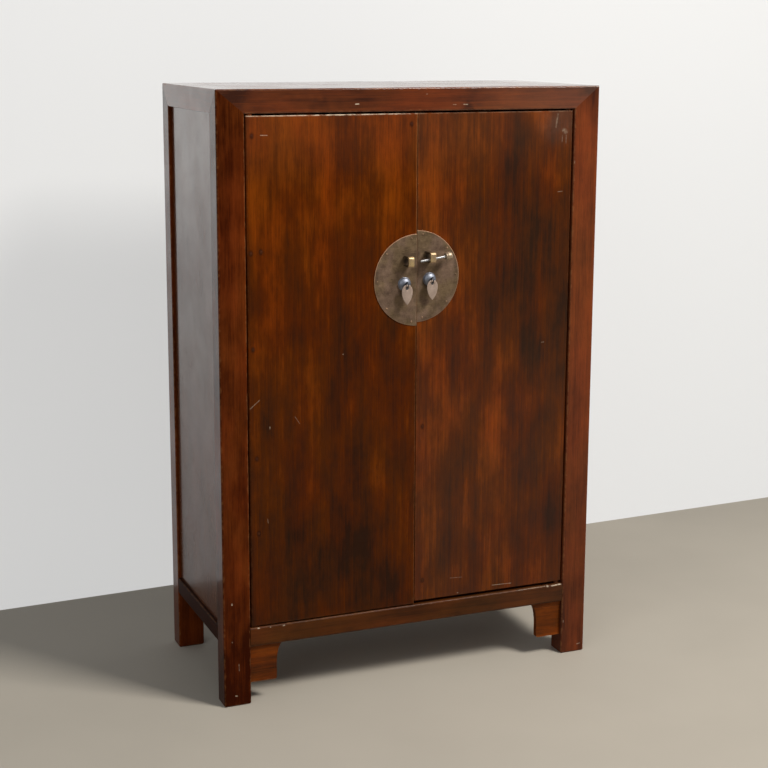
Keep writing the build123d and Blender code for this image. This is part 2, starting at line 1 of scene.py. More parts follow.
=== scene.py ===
"""Looks of a floor-standing wooden cabinet: lacquered wood, brass lock plate, pulls, lock pin and stage.

The file is laid out as an add-on: sizes and colours are properties, and each group of pieces is
an operator. All lengths are in metres, with the doors facing -Y and the floor at Z = 0.
"""
import math
from typing import NamedTuple

import bmesh
import bpy
from bpy.props import FloatProperty, FloatVectorProperty, PointerProperty
from mathutils import Matrix, Vector, noise


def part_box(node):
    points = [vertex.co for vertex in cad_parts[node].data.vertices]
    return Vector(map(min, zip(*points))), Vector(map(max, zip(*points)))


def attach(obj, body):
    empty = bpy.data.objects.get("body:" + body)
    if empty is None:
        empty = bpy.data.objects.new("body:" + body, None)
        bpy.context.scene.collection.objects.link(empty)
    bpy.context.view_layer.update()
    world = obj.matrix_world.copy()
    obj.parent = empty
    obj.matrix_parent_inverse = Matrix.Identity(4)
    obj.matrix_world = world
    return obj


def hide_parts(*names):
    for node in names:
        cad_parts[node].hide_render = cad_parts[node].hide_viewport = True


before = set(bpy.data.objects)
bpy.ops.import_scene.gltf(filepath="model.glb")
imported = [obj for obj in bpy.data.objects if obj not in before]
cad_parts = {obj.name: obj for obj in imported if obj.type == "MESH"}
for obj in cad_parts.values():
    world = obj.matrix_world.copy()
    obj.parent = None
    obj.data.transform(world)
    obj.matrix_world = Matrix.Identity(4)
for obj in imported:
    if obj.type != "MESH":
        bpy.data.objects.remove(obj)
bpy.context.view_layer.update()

bl_info = {
    "name": "Two-door wooden cabinet",
    "version": (1, 0, 0),
    "blender": (4, 5, 0),
    "location": "3D View > Sidebar > Cabinet",
    "description": "Finishes the cabinet's wood and makes its lock plate, pulls, lock pin and stage",
    "category": "Add Mesh",
}

SIDES = {"left": -1, "right": 1}
DOOR_BOARDS = ("door_hinge_stile", "door_outer_board", "door_inner_board", "door_meeting_stile")


# Sizes and colours that a user would change


def tone(red, green, blue):
    """Linear colour of a screen colour whose parts run from 0 to 255."""

    def linear(part):
        share = part / 255
        return share / 12.92 if share <= 0.04045 else ((share + 0.055) / 1.055) ** 2.4

    return (linear(red), linear(green), linear(blue))


def colour(name, description, red, green, blue):
    """Colour property with a screen colour as its default."""
    return FloatVectorProperty(
        name=name,
        description=description,
        default=tone(red, green, blue),
        size=3,
        min=0.0,
        max=1.0,
        subtype="COLOR",
    )


def length(name, description, default):
    """Length property in metres."""
    return FloatProperty(
        name=name,
        description=description,
        default=default,
        min=0.0,
        precision=5,
        unit="LENGTH",
        subtype="DISTANCE",
    )


class CabinetColours(bpy.types.PropertyGroup):
    """Colours of the woods, the metals and the stage."""

    case_deep: colour("Case, deep", "Dark streaks of posts and rails", 50, 16, 3)
    case_warm: colour("Case, warm", "Light streaks of posts and rails", 114, 52, 17)
    rail_deep: colour("Bottom rail, deep", "Dark streaks of the bottom rail and brackets", 38, 19, 6)
    rail_warm: colour("Bottom rail, warm", "Light streaks of the bottom rail and brackets", 84, 43, 12)
    door_deep: colour("Door, deep", "Darkest stain of the doors", 42, 22, 11)
    door_mid: colour("Door, middle", "Most of the doors", 78, 33, 3)
    door_warm: colour("Door, warm", "Orange streaks of the doors", 122, 55, 5)
    panel_deep: colour("Side panel, deep", "Dark streaks of the side panels", 56, 30, 16)
    panel_warm: colour("Side panel, warm", "Light streaks of the side panels", 100, 56, 32)
    bare_deep: colour("Bare wood, deep", "Dark streaks of the wood inside and behind", 92, 62, 36)
    bare_warm: colour("Bare wood, warm", "Light streaks of the wood inside and behind", 152, 114, 72)
    worn_wood: colour("Worn wood", "Arrises where the lacquer is rubbed thin", 158, 108, 66)
    chipped_wood: colour("Chipped wood", "Small chips down to pale wood", 214, 196, 170)
    # Pale colour painted on the lacquer as sheen, standing in for reflected light; it also colours a
    # scuffed corner.
    painted_sheen_and_scuffs: colour("Haze", "Pale bloom in the lacquer", 150, 130, 115)
    brass_dull: colour("Brass, dull", "Tarnish on the lock plate", 90, 73, 57)
    brass_bright: colour("Brass, bright", "Cleaner brass of the lock plate", 168, 142, 116)
    # This colour also paints the highlight on the top of the lock plate's rim.
    rim_brass: colour("Rim brass", "Rubbed rim of the lock plate", 214, 172, 136)
    staple_brass: colour("Staple brass", "Rubbed brass of the staples", 214, 186, 124)
    steel_dark: colour("Steel, dark", "Darkened steel of the eyes", 84, 86, 92)
    steel_blue: colour("Steel, blue", "Darkened steel of the bosses", 112, 116, 127)
    steel_bright: colour("Steel, bright", "Rubbed steel", 172, 176, 186)
    pendant_dull: colour("Pendant, dull", "Tarnish on the pendants", 150, 130, 117)
    pendant_pale: colour("Pendant, pale", "Matt metal of the pendants", 188, 167, 152)
    pin_pale: colour("Pin, pale", "Metal of the lock pin's rod", 222, 220, 210)
    head_pale: colour("Pin head, pale", "Metal of the lock pin's head", 172, 174, 156)
    floor_grey: colour("Floor", "Plain floor", 184, 176, 162)
    wall_white: colour("Wall", "Plain backdrop", 236, 236, 235)


class CabinetSizes(bpy.types.PropertyGroup):
    """Small sizes of the finish and the hardware."""

    wear_width: length("Wear", "Width of the rubbed band along an arris", 0.0045)
    plate_rim: length("Plate rim", "Rounding of the lock plate's rim", 0.0012)
    plate_beating: length("Plate beating", "Unevenness of the beaten lock plate", 0.00022)
    strap_rounding: length("Strap rounding", "Rounded edges of the staples", 0.0005)
    boss_foot: length("Boss foot", "Height of the rim at a boss's foot", 0.0009)
    pendant_crown: length("Pendant crown", "How far a pendant's faces bulge", 0.00055)
    peg_radius: length("Peg radius", "Radius of the pegs in the doors", 0.0027)


# Shader maths


def feed(tree, socket, value):
    """Links a socket or sets its value; a colour of three parts gets its alpha."""
    if isinstance(value, Shade):
        tree.links.new(value.socket, socket)
        return
    if socket.type == "RGBA" and len(value) == 3:
        value = (*value, 1.0)
    socket.default_value = value


class Shade:
    """One output socket; expressions on it add Math nodes to its tree."""

    def __init__(self, tree, socket=None):
        self.tree = tree
        self.socket = socket

    def node(self, kind, settings=None, sockets=None, output=0):
        """Adds a node, with its settings first and then the values or links of its sockets."""
        made = self.tree.nodes.new(kind)
        for name, value in (settings or {}).items():
            if name != "stops":
                setattr(made, name, value)
                continue
            elements = made.color_ramp.elements
            while len(elements) < len(value):
                elements.new(1.0)
            for element, (place, shade) in zip(elements, value):
                element.position = place
                element.color = (*shade, 1.0)
        for name, value in (sockets or {}).items():
            feed(self.tree, made.inputs[name], value)
        return Shade(self.tree, made.outputs[output] if made.outputs else None)

    def math(self, operation, *values):
        return self.node("ShaderNodeMath", {"operation": operation}, dict(enumerate(values)))

    def __add__(self, other):
        return self.math("ADD", self, other)

    __radd__ = __add__

    def __sub__(self, other):
        return self.math("SUBTRACT", self, other)

    def __rsub__(self, other):
        return self.math("SUBTRACT", other, self)

    def __mul__(self, other):
        return self.math("MULTIPLY", self, other)

    __rmul__ = __mul__

    def __truediv__(self, other):
        return self.math("DIVIDE", self, other)

    def lesser(self, other):
        return self.math("MINIMUM", self, other)

    def greater(self, other):
        return self.math("MAXIMUM", self, other)

    def rise(self, low, high):
        """0 at low and 1 at high with a soft step between, also where low is above high."""
        return self.node(
            "ShaderNodeMapRange",
            {"interpolation_type": "SMOOTHSTEP"},
            {"Value": self, "From Min": low, "From Max": high},
        )

    def vector(self, operation, other):
        """Vector Math with another vector."""
        return self.node("ShaderNodeVectorMath", {"operation": operation}, {0: self, 1: other})

    def measure(self, operation, other=(0.0, 0.0, 0.0)):
        """Vector Math whose result is a number."""
        sockets = {0: self, 1: other}
        return self.node("ShaderNodeVectorMath", {"operation": operation}, sockets, output="Value")

    def split(self):
        """The three parts of a vector."""
        first = self.node("ShaderNodeSeparateXYZ", {}, {0: self})
        return [Shade(self.tree, socket) for socket in first.socket.node.outputs]

    def noise(self, scale, detail=3.0, roughness=0.55):
        """Noise at this place, about 0.5 in the mean."""
        return self.node(
            "ShaderNodeTexNoise",
            {},
            {"Vector": self, "Scale": scale, "Detail": detail, "Roughness": roughness},
        )

    def mix(self, first, second):
        """Colour between two colours, with this value as the factor."""
        return self.node(
            "ShaderNodeMix",
            {"data_type": "RGBA", "clamp_factor": True},
            {0: self, 6: first, 7: second},
            output=2,
        )

    def bump(self, distance, strength=1.0):
        """Normal of a surface whose height is this value, in units of distance."""
        return self.node(
            "ShaderNodeBump", {}, {"Height": self, "Distance": distance, "Strength": strength}
        )


def new_material(name):
    """Material with one Principled surface, and the start of its shader maths."""
    material = bpy.data.materials.new(name)
    material.use_nodes = True
    return material, material.node_tree.nodes["Principled BSDF"], Shade(material.node_tree)


def set_sockets(surface, tree, values):
    """Links or sets the sockets of a surface by their names."""
    for name, value in values.items():
        feed(tree, surface.inputs[name], value)


def object_place(start):
    """Place on the piece, in metres."""
    return start.node("ShaderNodeTexCoord", output="Object")


# Wood

GRAIN_AXIS = {"X": 0, "Y": 1, "Z": 2}
# Near black for pores, pits and dirt, and for painted shade under the staples, inside their loops and on
# the dull lower rails.
DIRT_AND_SHADE = (0.010, 0.005, 0.003)
RED_TINT = (1.03, 0.92, 0.90)
OLIVE_TINT = (0.98, 1.05, 1.0)

# How much each pattern is shrunk along the grain
FIBRE_STRETCH = 0.035
FIGURE_STRETCH = 0.14
BLOTCH_STRETCH = 0.45

# How fine each pattern is, in noise cells per metre
WANDER_SCALE = 4.0
SMUDGE_SCALE = 11.0
TINT_SCALE = 12.0
BROAD_SCALE = 14.0
BLOTCH_SCALE = 19.0
RING_SCALE = 24.0
STREAK_SCALE = 60.0
RAGGED_SCALE = 90.0
CHIP_SCALE = 210.0
FIBRE_SCALE = 420.0
PORE_SCALE = 1500.0

# How far each pattern moves the tone, or covers it
WANDER_TONE = 0.3
BROAD_TONE = 0.5
BLOTCH_TONE = 0.9
RING_TONE = 0.1
STREAK_TONE = 0.35
FIBRE_TONE = 0.5
PORE_COVER = 0.4
WEAR_COVER = 0.75

COAT_ROUGHNESS = 0.1
WOOD_RELIEF = 0.0002
CHIP_REACH = (0.0026, 0.0010)
FRONT_DEPTH = (0.0008, 0.0040)


class Finish(NamedTuple):
    """How a wood is coloured and lacquered.

    fade is the share of the gloss that is lost towards the foot, and front the share that the front keeps.
    """

    stops: tuple
    streak: float
    gloss: float
    wear: float
    roughness: float
    specular: float = 0.1
    fade: float = 0.0
    coat_index: float = 1.6
    front: float = 0.12


def grain_shift(name):
    """Offset that gives each piece its own stretch of grain."""
    number = sum(ord(letter) for letter in name)
    return (number * 0.137 % 3.0, number * 0.071 % 3.0, number * 0.193 % 3.0)


def stretched(place, grain, share):
    """Place with the way along the grain shrunk, so that a pattern on it is drawn out along the grain."""
    scale = [1.0, 1.0, 1.0]
    scale[GRAIN_AXIS[grain]] = share
    return place.vector("MULTIPLY", scale)


def distance_to_arris(place, low, high):
    """Distance to the nearest arris of a box: the middle one of the distances to its faces."""
    from_low = place.vector("SUBTRACT", low)
    from_high = place.node("ShaderNodeVectorMath", {"operation": "SUBTRACT"}, {0: high, 1: place})
    x, y, z = from_low.vector("MINIMUM", from_high).split()
    return x.lesser(y).greater(x.greater(y).lesser(z))


def wood_material(name, low, high, grain, finish, sizes, colours, warmth=None, marks=None):
    """Lacquered wood with streaks and pores along the grain, rubbed arrises, chips and smudges.

    warmth adds to the broad tone, and marks gives pairs of a mask and its colour; both take the place on
    the piece.
    """
    material, surface, start = new_material(name)
    place = object_place(start)
    shifted = place.vector("ADD", grain_shift(name))
    along = stretched(shifted, grain, FIBRE_STRETCH)
    figure = stretched(shifted, grain, FIGURE_STRETCH)
    wander = figure.noise(WANDER_SCALE, 2.0)
    broad = figure.noise(BROAD_SCALE, 3.0)
    blotched = stretched(shifted, grain, BLOTCH_STRETCH)
    blotches = blotched.noise(BLOTCH_SCALE, 4.0, 0.6)
    streaks = along.noise(STREAK_SCALE, 5.0, 0.62)
    fibres = along.noise(FIBRE_SCALE, 3.0, 0.6)
    pores = along.noise(PORE_SCALE, 1.0).rise(0.60, 0.74)
    rings = start.node(
        "ShaderNodeTexWave",
        {"wave_type": "RINGS", "rings_direction": grain, "wave_profile": "SAW"},
        {"Vector": along, "Scale": RING_SCALE, "Distortion": 5.0, "Detail": 2.0, "Detail Scale": 1.6},
    )
    streaky = (broad - 0.5) * BROAD_TONE + (blotches - 0.5) * BLOTCH_TONE + (streaks - 0.5) * STREAK_TONE
    tone_level = 0.5 + streaky * finish.streak
    tone_level = tone_level + (fibres - 0.5) * FIBRE_TONE + (rings - 0.5) * RING_TONE
    tone_level = tone_level + (wander - 0.5) * WANDER_TONE
    if warmth:
        tone_level = tone_level + warmth(place)
    shade = start.node("ShaderNodeValToRGB", {"stops": finish.stops}, {0: tone_level})
    hue = blotched.noise(TINT_SCALE, 3.0).rise(0.35, 0.65).mix(RED_TINT, OLIVE_TINT)
    shade = (pores * PORE_COVER).mix(shade.vector("MULTIPLY", hue), DIRT_AND_SHADE)

    arris = distance_to_arris(place, low, high)
    ragged = place.noise(RAGGED_SCALE, 4.0, 0.65)
    reach = sizes.wear_width * (0.15 + ragged.rise(0.35, 0.75) * 1.3)
    worn = arris.rise(reach, 0.0) * finish.wear * WEAR_COVER
    chips = place.noise(CHIP_SCALE, 2.0).rise(0.72, 0.76) * arris.rise(*CHIP_REACH) * finish.wear
    shade = worn.mix(shade, colours.worn_wood)
    shade = chips.mix(shade, colours.chipped_wood)
    bare = worn.greater(chips)
    for mask, tint in marks(place, ragged) if marks else ():
        shade = mask.mix(shade, tint)
        bare = bare.greater(mask)

    smudges = place.noise(SMUDGE_SCALE, 4.0, 0.6)
    _, y, z = place.split()
    polish = finish.front + (y - low[1]).rise(*FRONT_DEPTH) * (1 - finish.front)
    polish = polish * (1 - z.rise(high[2], low[2]) * finish.fade)
    rough = finish.roughness + (smudges - 0.5) * 0.12 + bare * 0.3 + (fibres - 0.5) * 0.08
    coat = finish.gloss * polish * (1 - bare * 0.9) * (0.7 + smudges.rise(0.75, 0.25) * 0.3)
    relief = fibres * 0.35 + streaks * 0.4 - pores * 0.6 - bare * 0.5
    sockets = {
        "Base Color": shade,
        "Roughness": rough,
        "Coat Weight": coat,
        "Normal": relief.bump(WOOD_RELIEF, 0.6),
        "Coat Roughness": COAT_ROUGHNESS,
        "Coat IOR": finish.coat_index,
        "Specular IOR Level": finish.specular,
    }
    set_sockets(surface, start.tree, sockets)
    return material


def dress(node, material):
    """Gives a CAD node its material."""
    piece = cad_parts[node]
    if not piece.material_slots:
        piece.data.materials.append(material)
    for slot in piece.material_slots:
        slot.material = material


def two_tone(deep, warm):
    """Stops of a ramp from a deep tone to a warm one."""
    return ((0.18, deep), (0.82, warm))


class SoftPatch(NamedTuple):
    """Soft patch on a front that lightens or darkens the wood."""

    x: float
    z: float
    half_width: float
    half_height: float
    strength: float


class Scratch(NamedTuple):
    """Pale scratch, scuff or chip on a front, from one point to another."""

    start: tuple
    end: tuple
    half_width: float
    strength: float


def soft_patch_mask(place, tone_patch):
    """1 in the middle of a soft patch and 0 outside, with a soft edge."""
    middle = place.vector("SUBTRACT", (tone_patch.x, 0.0, tone_patch.z))
    scaled = middle.vector("DIVIDE", (tone_patch.half_width, 1000.0, tone_patch.half_height))
    return scaled.measure("LENGTH").rise(1.25, 0.15)


def scratch_mask(place, scratch):
    """Strength of a scratch: by the distance to its line, as far along it as it runs."""
    run = Vector((scratch.end[0] - scratch.start[0], 0.0, scratch.end[1] - scratch.start[1]))
    from_start = place.vector("SUBTRACT", (scratch.start[0], 0.0, scratch.start[1]))
    flat = from_start.vector("MULTIPLY", (1.0, 0.0, 1.0))
    share = (flat.measure("DOT_PRODUCT", run) / run.length_squared).greater(0.0).lesser(1.0)
    foot = flat.node("ShaderNodeVectorMath", {"operation": "SCALE"}, {0: run, "Scale": share})
    away = flat.measure("DISTANCE", foot)
    return away.rise(scratch.half_width, scratch.half_width * 0.3) * scratch.strength


def front_scratches(place, low, scratches, ragged):
    """Strength of all the scratches on a piece's front, broken up a little."""
    total = scratch_mask(place, scratches[0])
    for scratch in scratches[1:]:
        total = total.greater(scratch_mask(place, scratch))
    on_front = place.split()[1].rise(low[1] + 0.008, low[1] + 0.004)
    broken = place.noise(300.0, 2.0).rise(0.36, 0.60)
    return total * on_front * (0.2 + broken * 0.5 + ragged.rise(0.35, 0.60) * 0.3)


def patched_tone(place, tone_patches, level=0.0):
    """Change of tone by all the soft patches of a piece, stains and painted light and shade among them,
    their edges drawn out by the grain.
    """
    warp = place.vector("MULTIPLY", (1.0, 1.0, 0.35)).noise(16.0, 3.0)
    sway = place.node("ShaderNodeCombineXYZ", {}, {"X": (warp - 0.5) * 0.05, "Z": (warp - 0.5) * 0.16})
    swayed = place.vector("ADD", sway)
    total = level
    for tone_patch in tone_patches:
        total = soft_patch_mask(swayed, tone_patch) * tone_patch.strength + total
    return total


POST_FRONT_GLOSS = {"front_left": 0.03, "front_right": 0.2, "back_left": 0.1, "back_right": 0.1}

CASE_SCRATCHES = {
    "top_front_rail": (
        Scratch((-0.1195, 1.1093), (-0.1135, 1.1096), 0.0014, 0.75),
        Scratch((0.0730, 1.1062), (0.0790, 1.1060), 0.0009, 0.5),
        Scratch((0.0940, 1.1063), (0.1020, 1.1060), 0.0010, 0.6),
        Scratch((0.0190, 1.1258), (0.0205, 1.1258), 0.0012, 0.35),
        Scratch((-0.3660, 1.1250), (-0.3650, 1.1225), 0.0012, 0.4),
    ),
    "front_left_post": (
        Scratch((-0.3635, 0.2010), (-0.3633, 0.1990), 0.0018, 0.6),
        Scratch((-0.3640, 0.1270), (-0.3636, 0.1260), 0.0013, 0.3),
        Scratch((-0.3585, 0.0200), (-0.3560, 0.0195), 0.0017, 0.5),
        Scratch((-0.3205, 0.1062), (-0.3190, 0.1056), 0.0013, 0.4),
        Scratch((-0.3515, 0.0820), (-0.3510, 0.0690), 0.0010, 0.3),
    ),
    "front_right_post": (
        Scratch((0.3650, 0.0150), (0.3720, 0.0160), 0.0012, 0.4),
        Scratch((0.3320, 0.0700), (0.3322, 0.0660), 0.0012, 0.3),
        Scratch((0.3300, 0.9960), (0.3302, 0.9920), 0.0010, 0.3),
    ),
    "bottom_front_rail": (
        Scratch((-0.3134, 0.1466), (-0.3110, 0.1466), 0.0017, 0.7),
        Scratch((-0.2896, 0.1456), (-0.2888, 0.1456), 0.0012, 0.5),
        Scratch((-0.2640, 0.1450), (-0.2618, 0.1452), 0.0017, 0.8),
        Scratch((0.2300, 0.1474), (0.2900, 0.1478), 0.0007, 0.3),
        Scratch((0.2940, 0.1470), (0.2958, 0.1474), 0.0022, 1.0),
        Scratch((0.3040, 0.1468), (0.3240, 0.1476), 0.0013, 0.8),
    ),
}
# Painted sheen, pale colour standing in for reflected light: its level at the middle, and what is added
# towards the right end
CASE_PAINTED_SHEEN = {
    "top_front_rail": (0.030, 0.090),
    "front_left_post": (0.0, 0.0),
    "front_right_post": (0.040, 0.0),
    "bottom_front_rail": (0.0, 0.02),
}
CASE_STAINS = {
    "top_front_rail": (
        SoftPatch(-0.350, 1.115, 0.030, 0.030, -0.25),
        SoftPatch(0.106, 1.104, 0.018, 0.016, -0.30),
        SoftPatch(0.365, 1.125, 0.030, 0.025, -0.35),
        SoftPatch(-0.200, 1.110, 0.050, 0.020, -0.15),
    ),
    "front_left_post": (
        SoftPatch(-0.354, 0.70, 0.300, 1.200, -0.10),
        SoftPatch(-0.354, 0.08, 0.060, 0.200, -0.30),
        SoftPatch(-0.354, 0.50, 0.060, 0.220, 0.06),
    ),
    "front_right_post": (
        SoftPatch(0.354, 0.80, 0.300, 1.200, 0.06),
        SoftPatch(0.354, 0.05, 0.060, 0.160, -0.16),
        SoftPatch(0.365, 1.10, 0.030, 0.060, -0.30),
    ),
    "bottom_front_rail": (
        SoftPatch(-0.150, 0.130, 0.120, 0.030, 0.10),
        SoftPatch(-0.290, 0.130, 0.040, 0.030, 0.12),
        SoftPatch(0.260, 0.130, 0.090, 0.040, 0.14),
    ),
}


class CABINET_OT_case_wood(bpy.types.Operator):
    """Finish the posts, rails, side panels and top boards in dark lacquer."""

    bl_idname = "cabinet.case_wood"
    bl_label = "Case Wood"

    def execute(self, context):
        colours = context.scene.cabinet_colours
        sizes = context.scene.cabinet_sizes
        case_tones = two_tone(colours.case_deep, colours.case_warm)
        case = Finish(case_tones, streak=1.0, gloss=1.0, wear=0.4, roughness=0.3)
        post = case._replace(streak=1.2, specular=0.02, fade=0.6)
        top_rail = case._replace(front=0.3)
        top_board = case._replace(gloss=0.85)
        # The dull finish of the bottom side and back rails runs down to near black as painted shade.
        dull_painted_shade_tones = two_tone(DIRT_AND_SHADE, colours.case_deep)
        dull = Finish(dull_painted_shade_tones, streak=1.0, gloss=0.0, wear=0.3, roughness=0.5, specular=0.03)
        rail_tones = two_tone(colours.rail_deep, colours.rail_warm)
        rail = Finish(rail_tones, streak=1.2, gloss=0.1, wear=0.3, roughness=0.4)
        bracket = rail._replace(stops=two_tone(colours.rail_deep, colours.door_warm))
        panel_tones = two_tone(colours.panel_deep, colours.panel_warm)
        panel = Finish(panel_tones, streak=0.9, gloss=1.0, wear=0.2, roughness=0.25)
        panel = panel._replace(fade=0.92, coat_index=1.9)
        woods = []
        for place, front in POST_FRONT_GLOSS.items():
            woods.append((f"{place}_post", "Z", post._replace(front=front)))
        woods += [(node, "X", top_rail) for node in ("top_front_rail", "top_back_rail")]
        woods += [(node, "X", top_board) for node in ("top_board_front", "top_board_back")]
        woods += [("bottom_front_rail", "X", rail), ("bottom_back_rail", "X", dull)]
        for side in SIDES:
            woods += [(f"top_{side}_rail", "Y", case), (f"bottom_{side}_rail", "Y", dull)]
            woods += [(f"{side}_side_panel", "Z", panel), (f"{side}_bracket", "X", bracket)]
        for node, grain, finish in woods:
            low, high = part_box(node)
            warmth, marks = self.wear(node, low, colours) if node in CASE_STAINS else (None, None)
            dress(node, wood_material(node, low, high, grain, finish, sizes, colours, warmth, marks))
        return {"FINISHED"}

    @staticmethod
    def wear(node, low, colours):
        """Tone and marks of a post or rail: stains and scratches of its own, and a painted sheen."""

        def warmth(place):
            return patched_tone(place, CASE_STAINS[node])

        def marks(place, ragged):
            # Painted sheen, stronger towards the right end.
            level, more_at_right = CASE_PAINTED_SHEEN[node]
            painted_sheen_and_scuffs = place.split()[0].rise(0.0, 0.35) * more_at_right + level
            scratches = front_scratches(place, low, CASE_SCRATCHES[node], ragged)
            return [(painted_sheen_and_scuffs, colours.painted_sheen_and_scuffs), (scratches, colours.chipped_wood)]

        return warmth, marks


class CABINET_OT_inner_wood(bpy.types.Operator):
    """Finish the boards and battens inside and behind as bare, aged wood."""

    bl_idname = "cabinet.inner_wood"
    bl_label = "Inner Wood"

    def execute(self, context):
        colours = context.scene.cabinet_colours
        sizes = context.scene.cabinet_sizes
        bare_tones = two_tone(colours.bare_deep, colours.bare_warm)
        bare = Finish(bare_tones, streak=1.0, gloss=0.0, wear=0.15, roughness=0.68)
        grains = {f"back_board_{place}": "Z" for place in ("left", "middle", "right")}
        for place in ("front", "back"):
            for kind in ("floor_board", "shelf_board"):
                grains[f"{kind}_{place}"] = "X"
            grains[f"shelf_{place}_rail"] = "X"
        for side in SIDES:
            grains[f"{side}_door_battens"] = "X"
            grains[f"{side}_side_battens"] = "Y"
        for place in ("floor", "top"):
            grains[f"{place}_battens"] = "Y"
        for node, grain in grains.items():
            low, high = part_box(node)
            dress(node, wood_material(node, low, high, grain, bare, sizes, colours))
        return {"FINISHED"}


# Doors

# Soft patches of tone on the doors: stains in the wood, and broad patches at the top and foot that are
# partly painted light and shade, lighter at the top and darker towards the foot; the right door is also
# darker over its right third.
DOOR_STAINS_AND_SHADING = {
    "left": (
        SoftPatch(-0.160, 1.12, 0.60, 0.50, 0.18),
        SoftPatch(-0.160, 0.20, 0.60, 0.50, -0.22),
        SoftPatch(-0.305, 0.83, 0.030, 0.10, -0.12),
        SoftPatch(-0.308, 0.42, 0.028, 0.20, 0.16),
        SoftPatch(-0.205, 0.80, 0.022, 0.36, 0.04),
        SoftPatch(-0.085, 0.95, 0.036, 0.14, -0.18),
        SoftPatch(-0.145, 0.88, 0.030, 0.08, -0.14),
        SoftPatch(-0.235, 0.65, 0.030, 0.10, -0.12),
        SoftPatch(-0.080, 0.64, 0.034, 0.14, -0.14),
        SoftPatch(-0.180, 0.72, 0.120, 0.12, -0.08),
        SoftPatch(-0.040, 0.46, 0.040, 0.24, 0.13),
        SoftPatch(-0.125, 0.42, 0.045, 0.32, -0.12),
        SoftPatch(-0.120, 0.21, 0.070, 0.10, -0.30),
    ),
    "right": (
        SoftPatch(0.080, 1.12, 0.30, 0.40, 0.16),
        SoftPatch(0.300, 1.06, 0.050, 0.06, -0.25),
        SoftPatch(0.205, 1.07, 0.060, 0.03, -0.15),
        SoftPatch(0.030, 0.60, 0.050, 0.50, 0.20),
        SoftPatch(0.165, 0.44, 0.040, 0.26, 0.26),
        SoftPatch(0.075, 0.30, 0.050, 0.12, -0.08),
        SoftPatch(0.128, 0.96, 0.038, 0.13, -0.10),
        SoftPatch(0.200, 0.92, 0.080, 0.20, -0.26),
        SoftPatch(0.280, 0.76, 0.090, 0.26, -0.28),
        SoftPatch(0.165, 0.66, 0.035, 0.08, -0.12),
        SoftPatch(0.300, 0.25, 0.035, 0.12, -0.16),
        SoftPatch(0.240, 0.48, 0.060, 0.06, -0.06),
        SoftPatch(0.262, 0.30, 0.070, 0.06, -0.10),
        SoftPatch(0.190, 0.62, 0.120, 0.05, -0.10),
    ),
}
DOOR_LEVEL = {"left": -0.02, "right": -0.04}
DOOR_GLOSS = {"left": 0.05, "right": 0.2}
DOOR_SCRATCHES = {
    "left": (
        Scratch((-0.3237, 0.5663), (-0.3057, 0.5813), 0.0009, 0.4),
        Scratch((-0.2987, 1.0573), (-0.2862, 1.0571), 0.0010, 0.5),
        Scratch((-0.2863, 0.5300), (-0.2863, 0.5260), 0.0011, 0.4),
        Scratch((-0.2925, 0.3560), (-0.2915, 0.3480), 0.0008, 0.25),
        Scratch((-0.2381, 0.5447), (-0.2290, 0.5309), 0.0008, 0.18),
        Scratch((-0.1445, 0.6542), (-0.1430, 0.6542), 0.0012, 0.35),
    ),
    "right": (
        Scratch((0.2969, 0.9380), (0.3062, 0.9388), 0.0009, 0.3),
        Scratch((0.2694, 0.6470), (0.2740, 0.6472), 0.0009, 0.35),
        Scratch((0.2931, 1.0854), (0.2895, 1.0610), 0.0024, 0.16),
        Scratch((0.3070, 1.0545), (0.3110, 1.0520), 0.0060, 0.20),
        Scratch((0.3040, 1.0450), (0.3035, 1.0330), 0.0014, 0.16),
        Scratch((0.3119, 1.0450), (0.3119, 1.0304), 0.0014, 0.16),
        Scratch((0.1718, 0.1652), (0.2138, 0.1640), 0.0008, 0.5),
        Scratch((0.0962, 0.1594), (0.0974, 0.1594), 0.0014, 0.6),
        Scratch((0.0802, 0.1920), (0.1060, 0.1907), 0.0007, 0.2),
    ),
}
DOOR_PEGS = {
    "left": (
        (-0.300, 0.851),
        (-0.319, 0.849),
        (-0.010, 1.072),
        (-0.315, 1.056),
        (-0.317, 0.675),
        (-0.312, 0.472),
        (-0.310, 0.330),
    ),
    "right": ((0.018, 0.502), (0.021, 0.195)),
}
SCUFFED_CORNER = SoftPatch(0.295, 1.070, 0.050, 0.045, 0.12)
# Painted sheen: pale colour for reflected light across the right door and near the tops of both doors.
DOOR_PAINTED_SHEEN = {"left": 0.0, "right": 0.012}
TOP_PAINTED_SHEEN = 0.024
TOP_EDGE_WEAR = {"left": 0.8, "right": 0.3}
TOP_EDGE_WORN = SoftPatch(-0.165, 1.09, 0.19, 0.05, 1.0)
# Pale line along each door's meeting edge: wear on its arris and a painted highlight.
SEAM_WEAR_AND_HIGHLIGHT = {"left": 0.6, "right": 0.2}

# Measures of a peg, as shares of its radius
PEG_BULGE = 0.12
PEG_HALO_WIDTH = 1.9
PEG_HALO_HEIGHT = 2.6


def leaf_box(side):
    """Corners of a whole door, over its four boards and without its pivots."""
    corners = [corner for board in DOOR_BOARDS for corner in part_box(f"{side}_{board}")]
    low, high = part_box(f"{side}_door_meeting_stile")
    left = min(corner.x for corner in corners)
    right = max(corner.x for corner in corners)
    return Vector((left, low.y, low.z)), Vector((right, high.y, high.z))


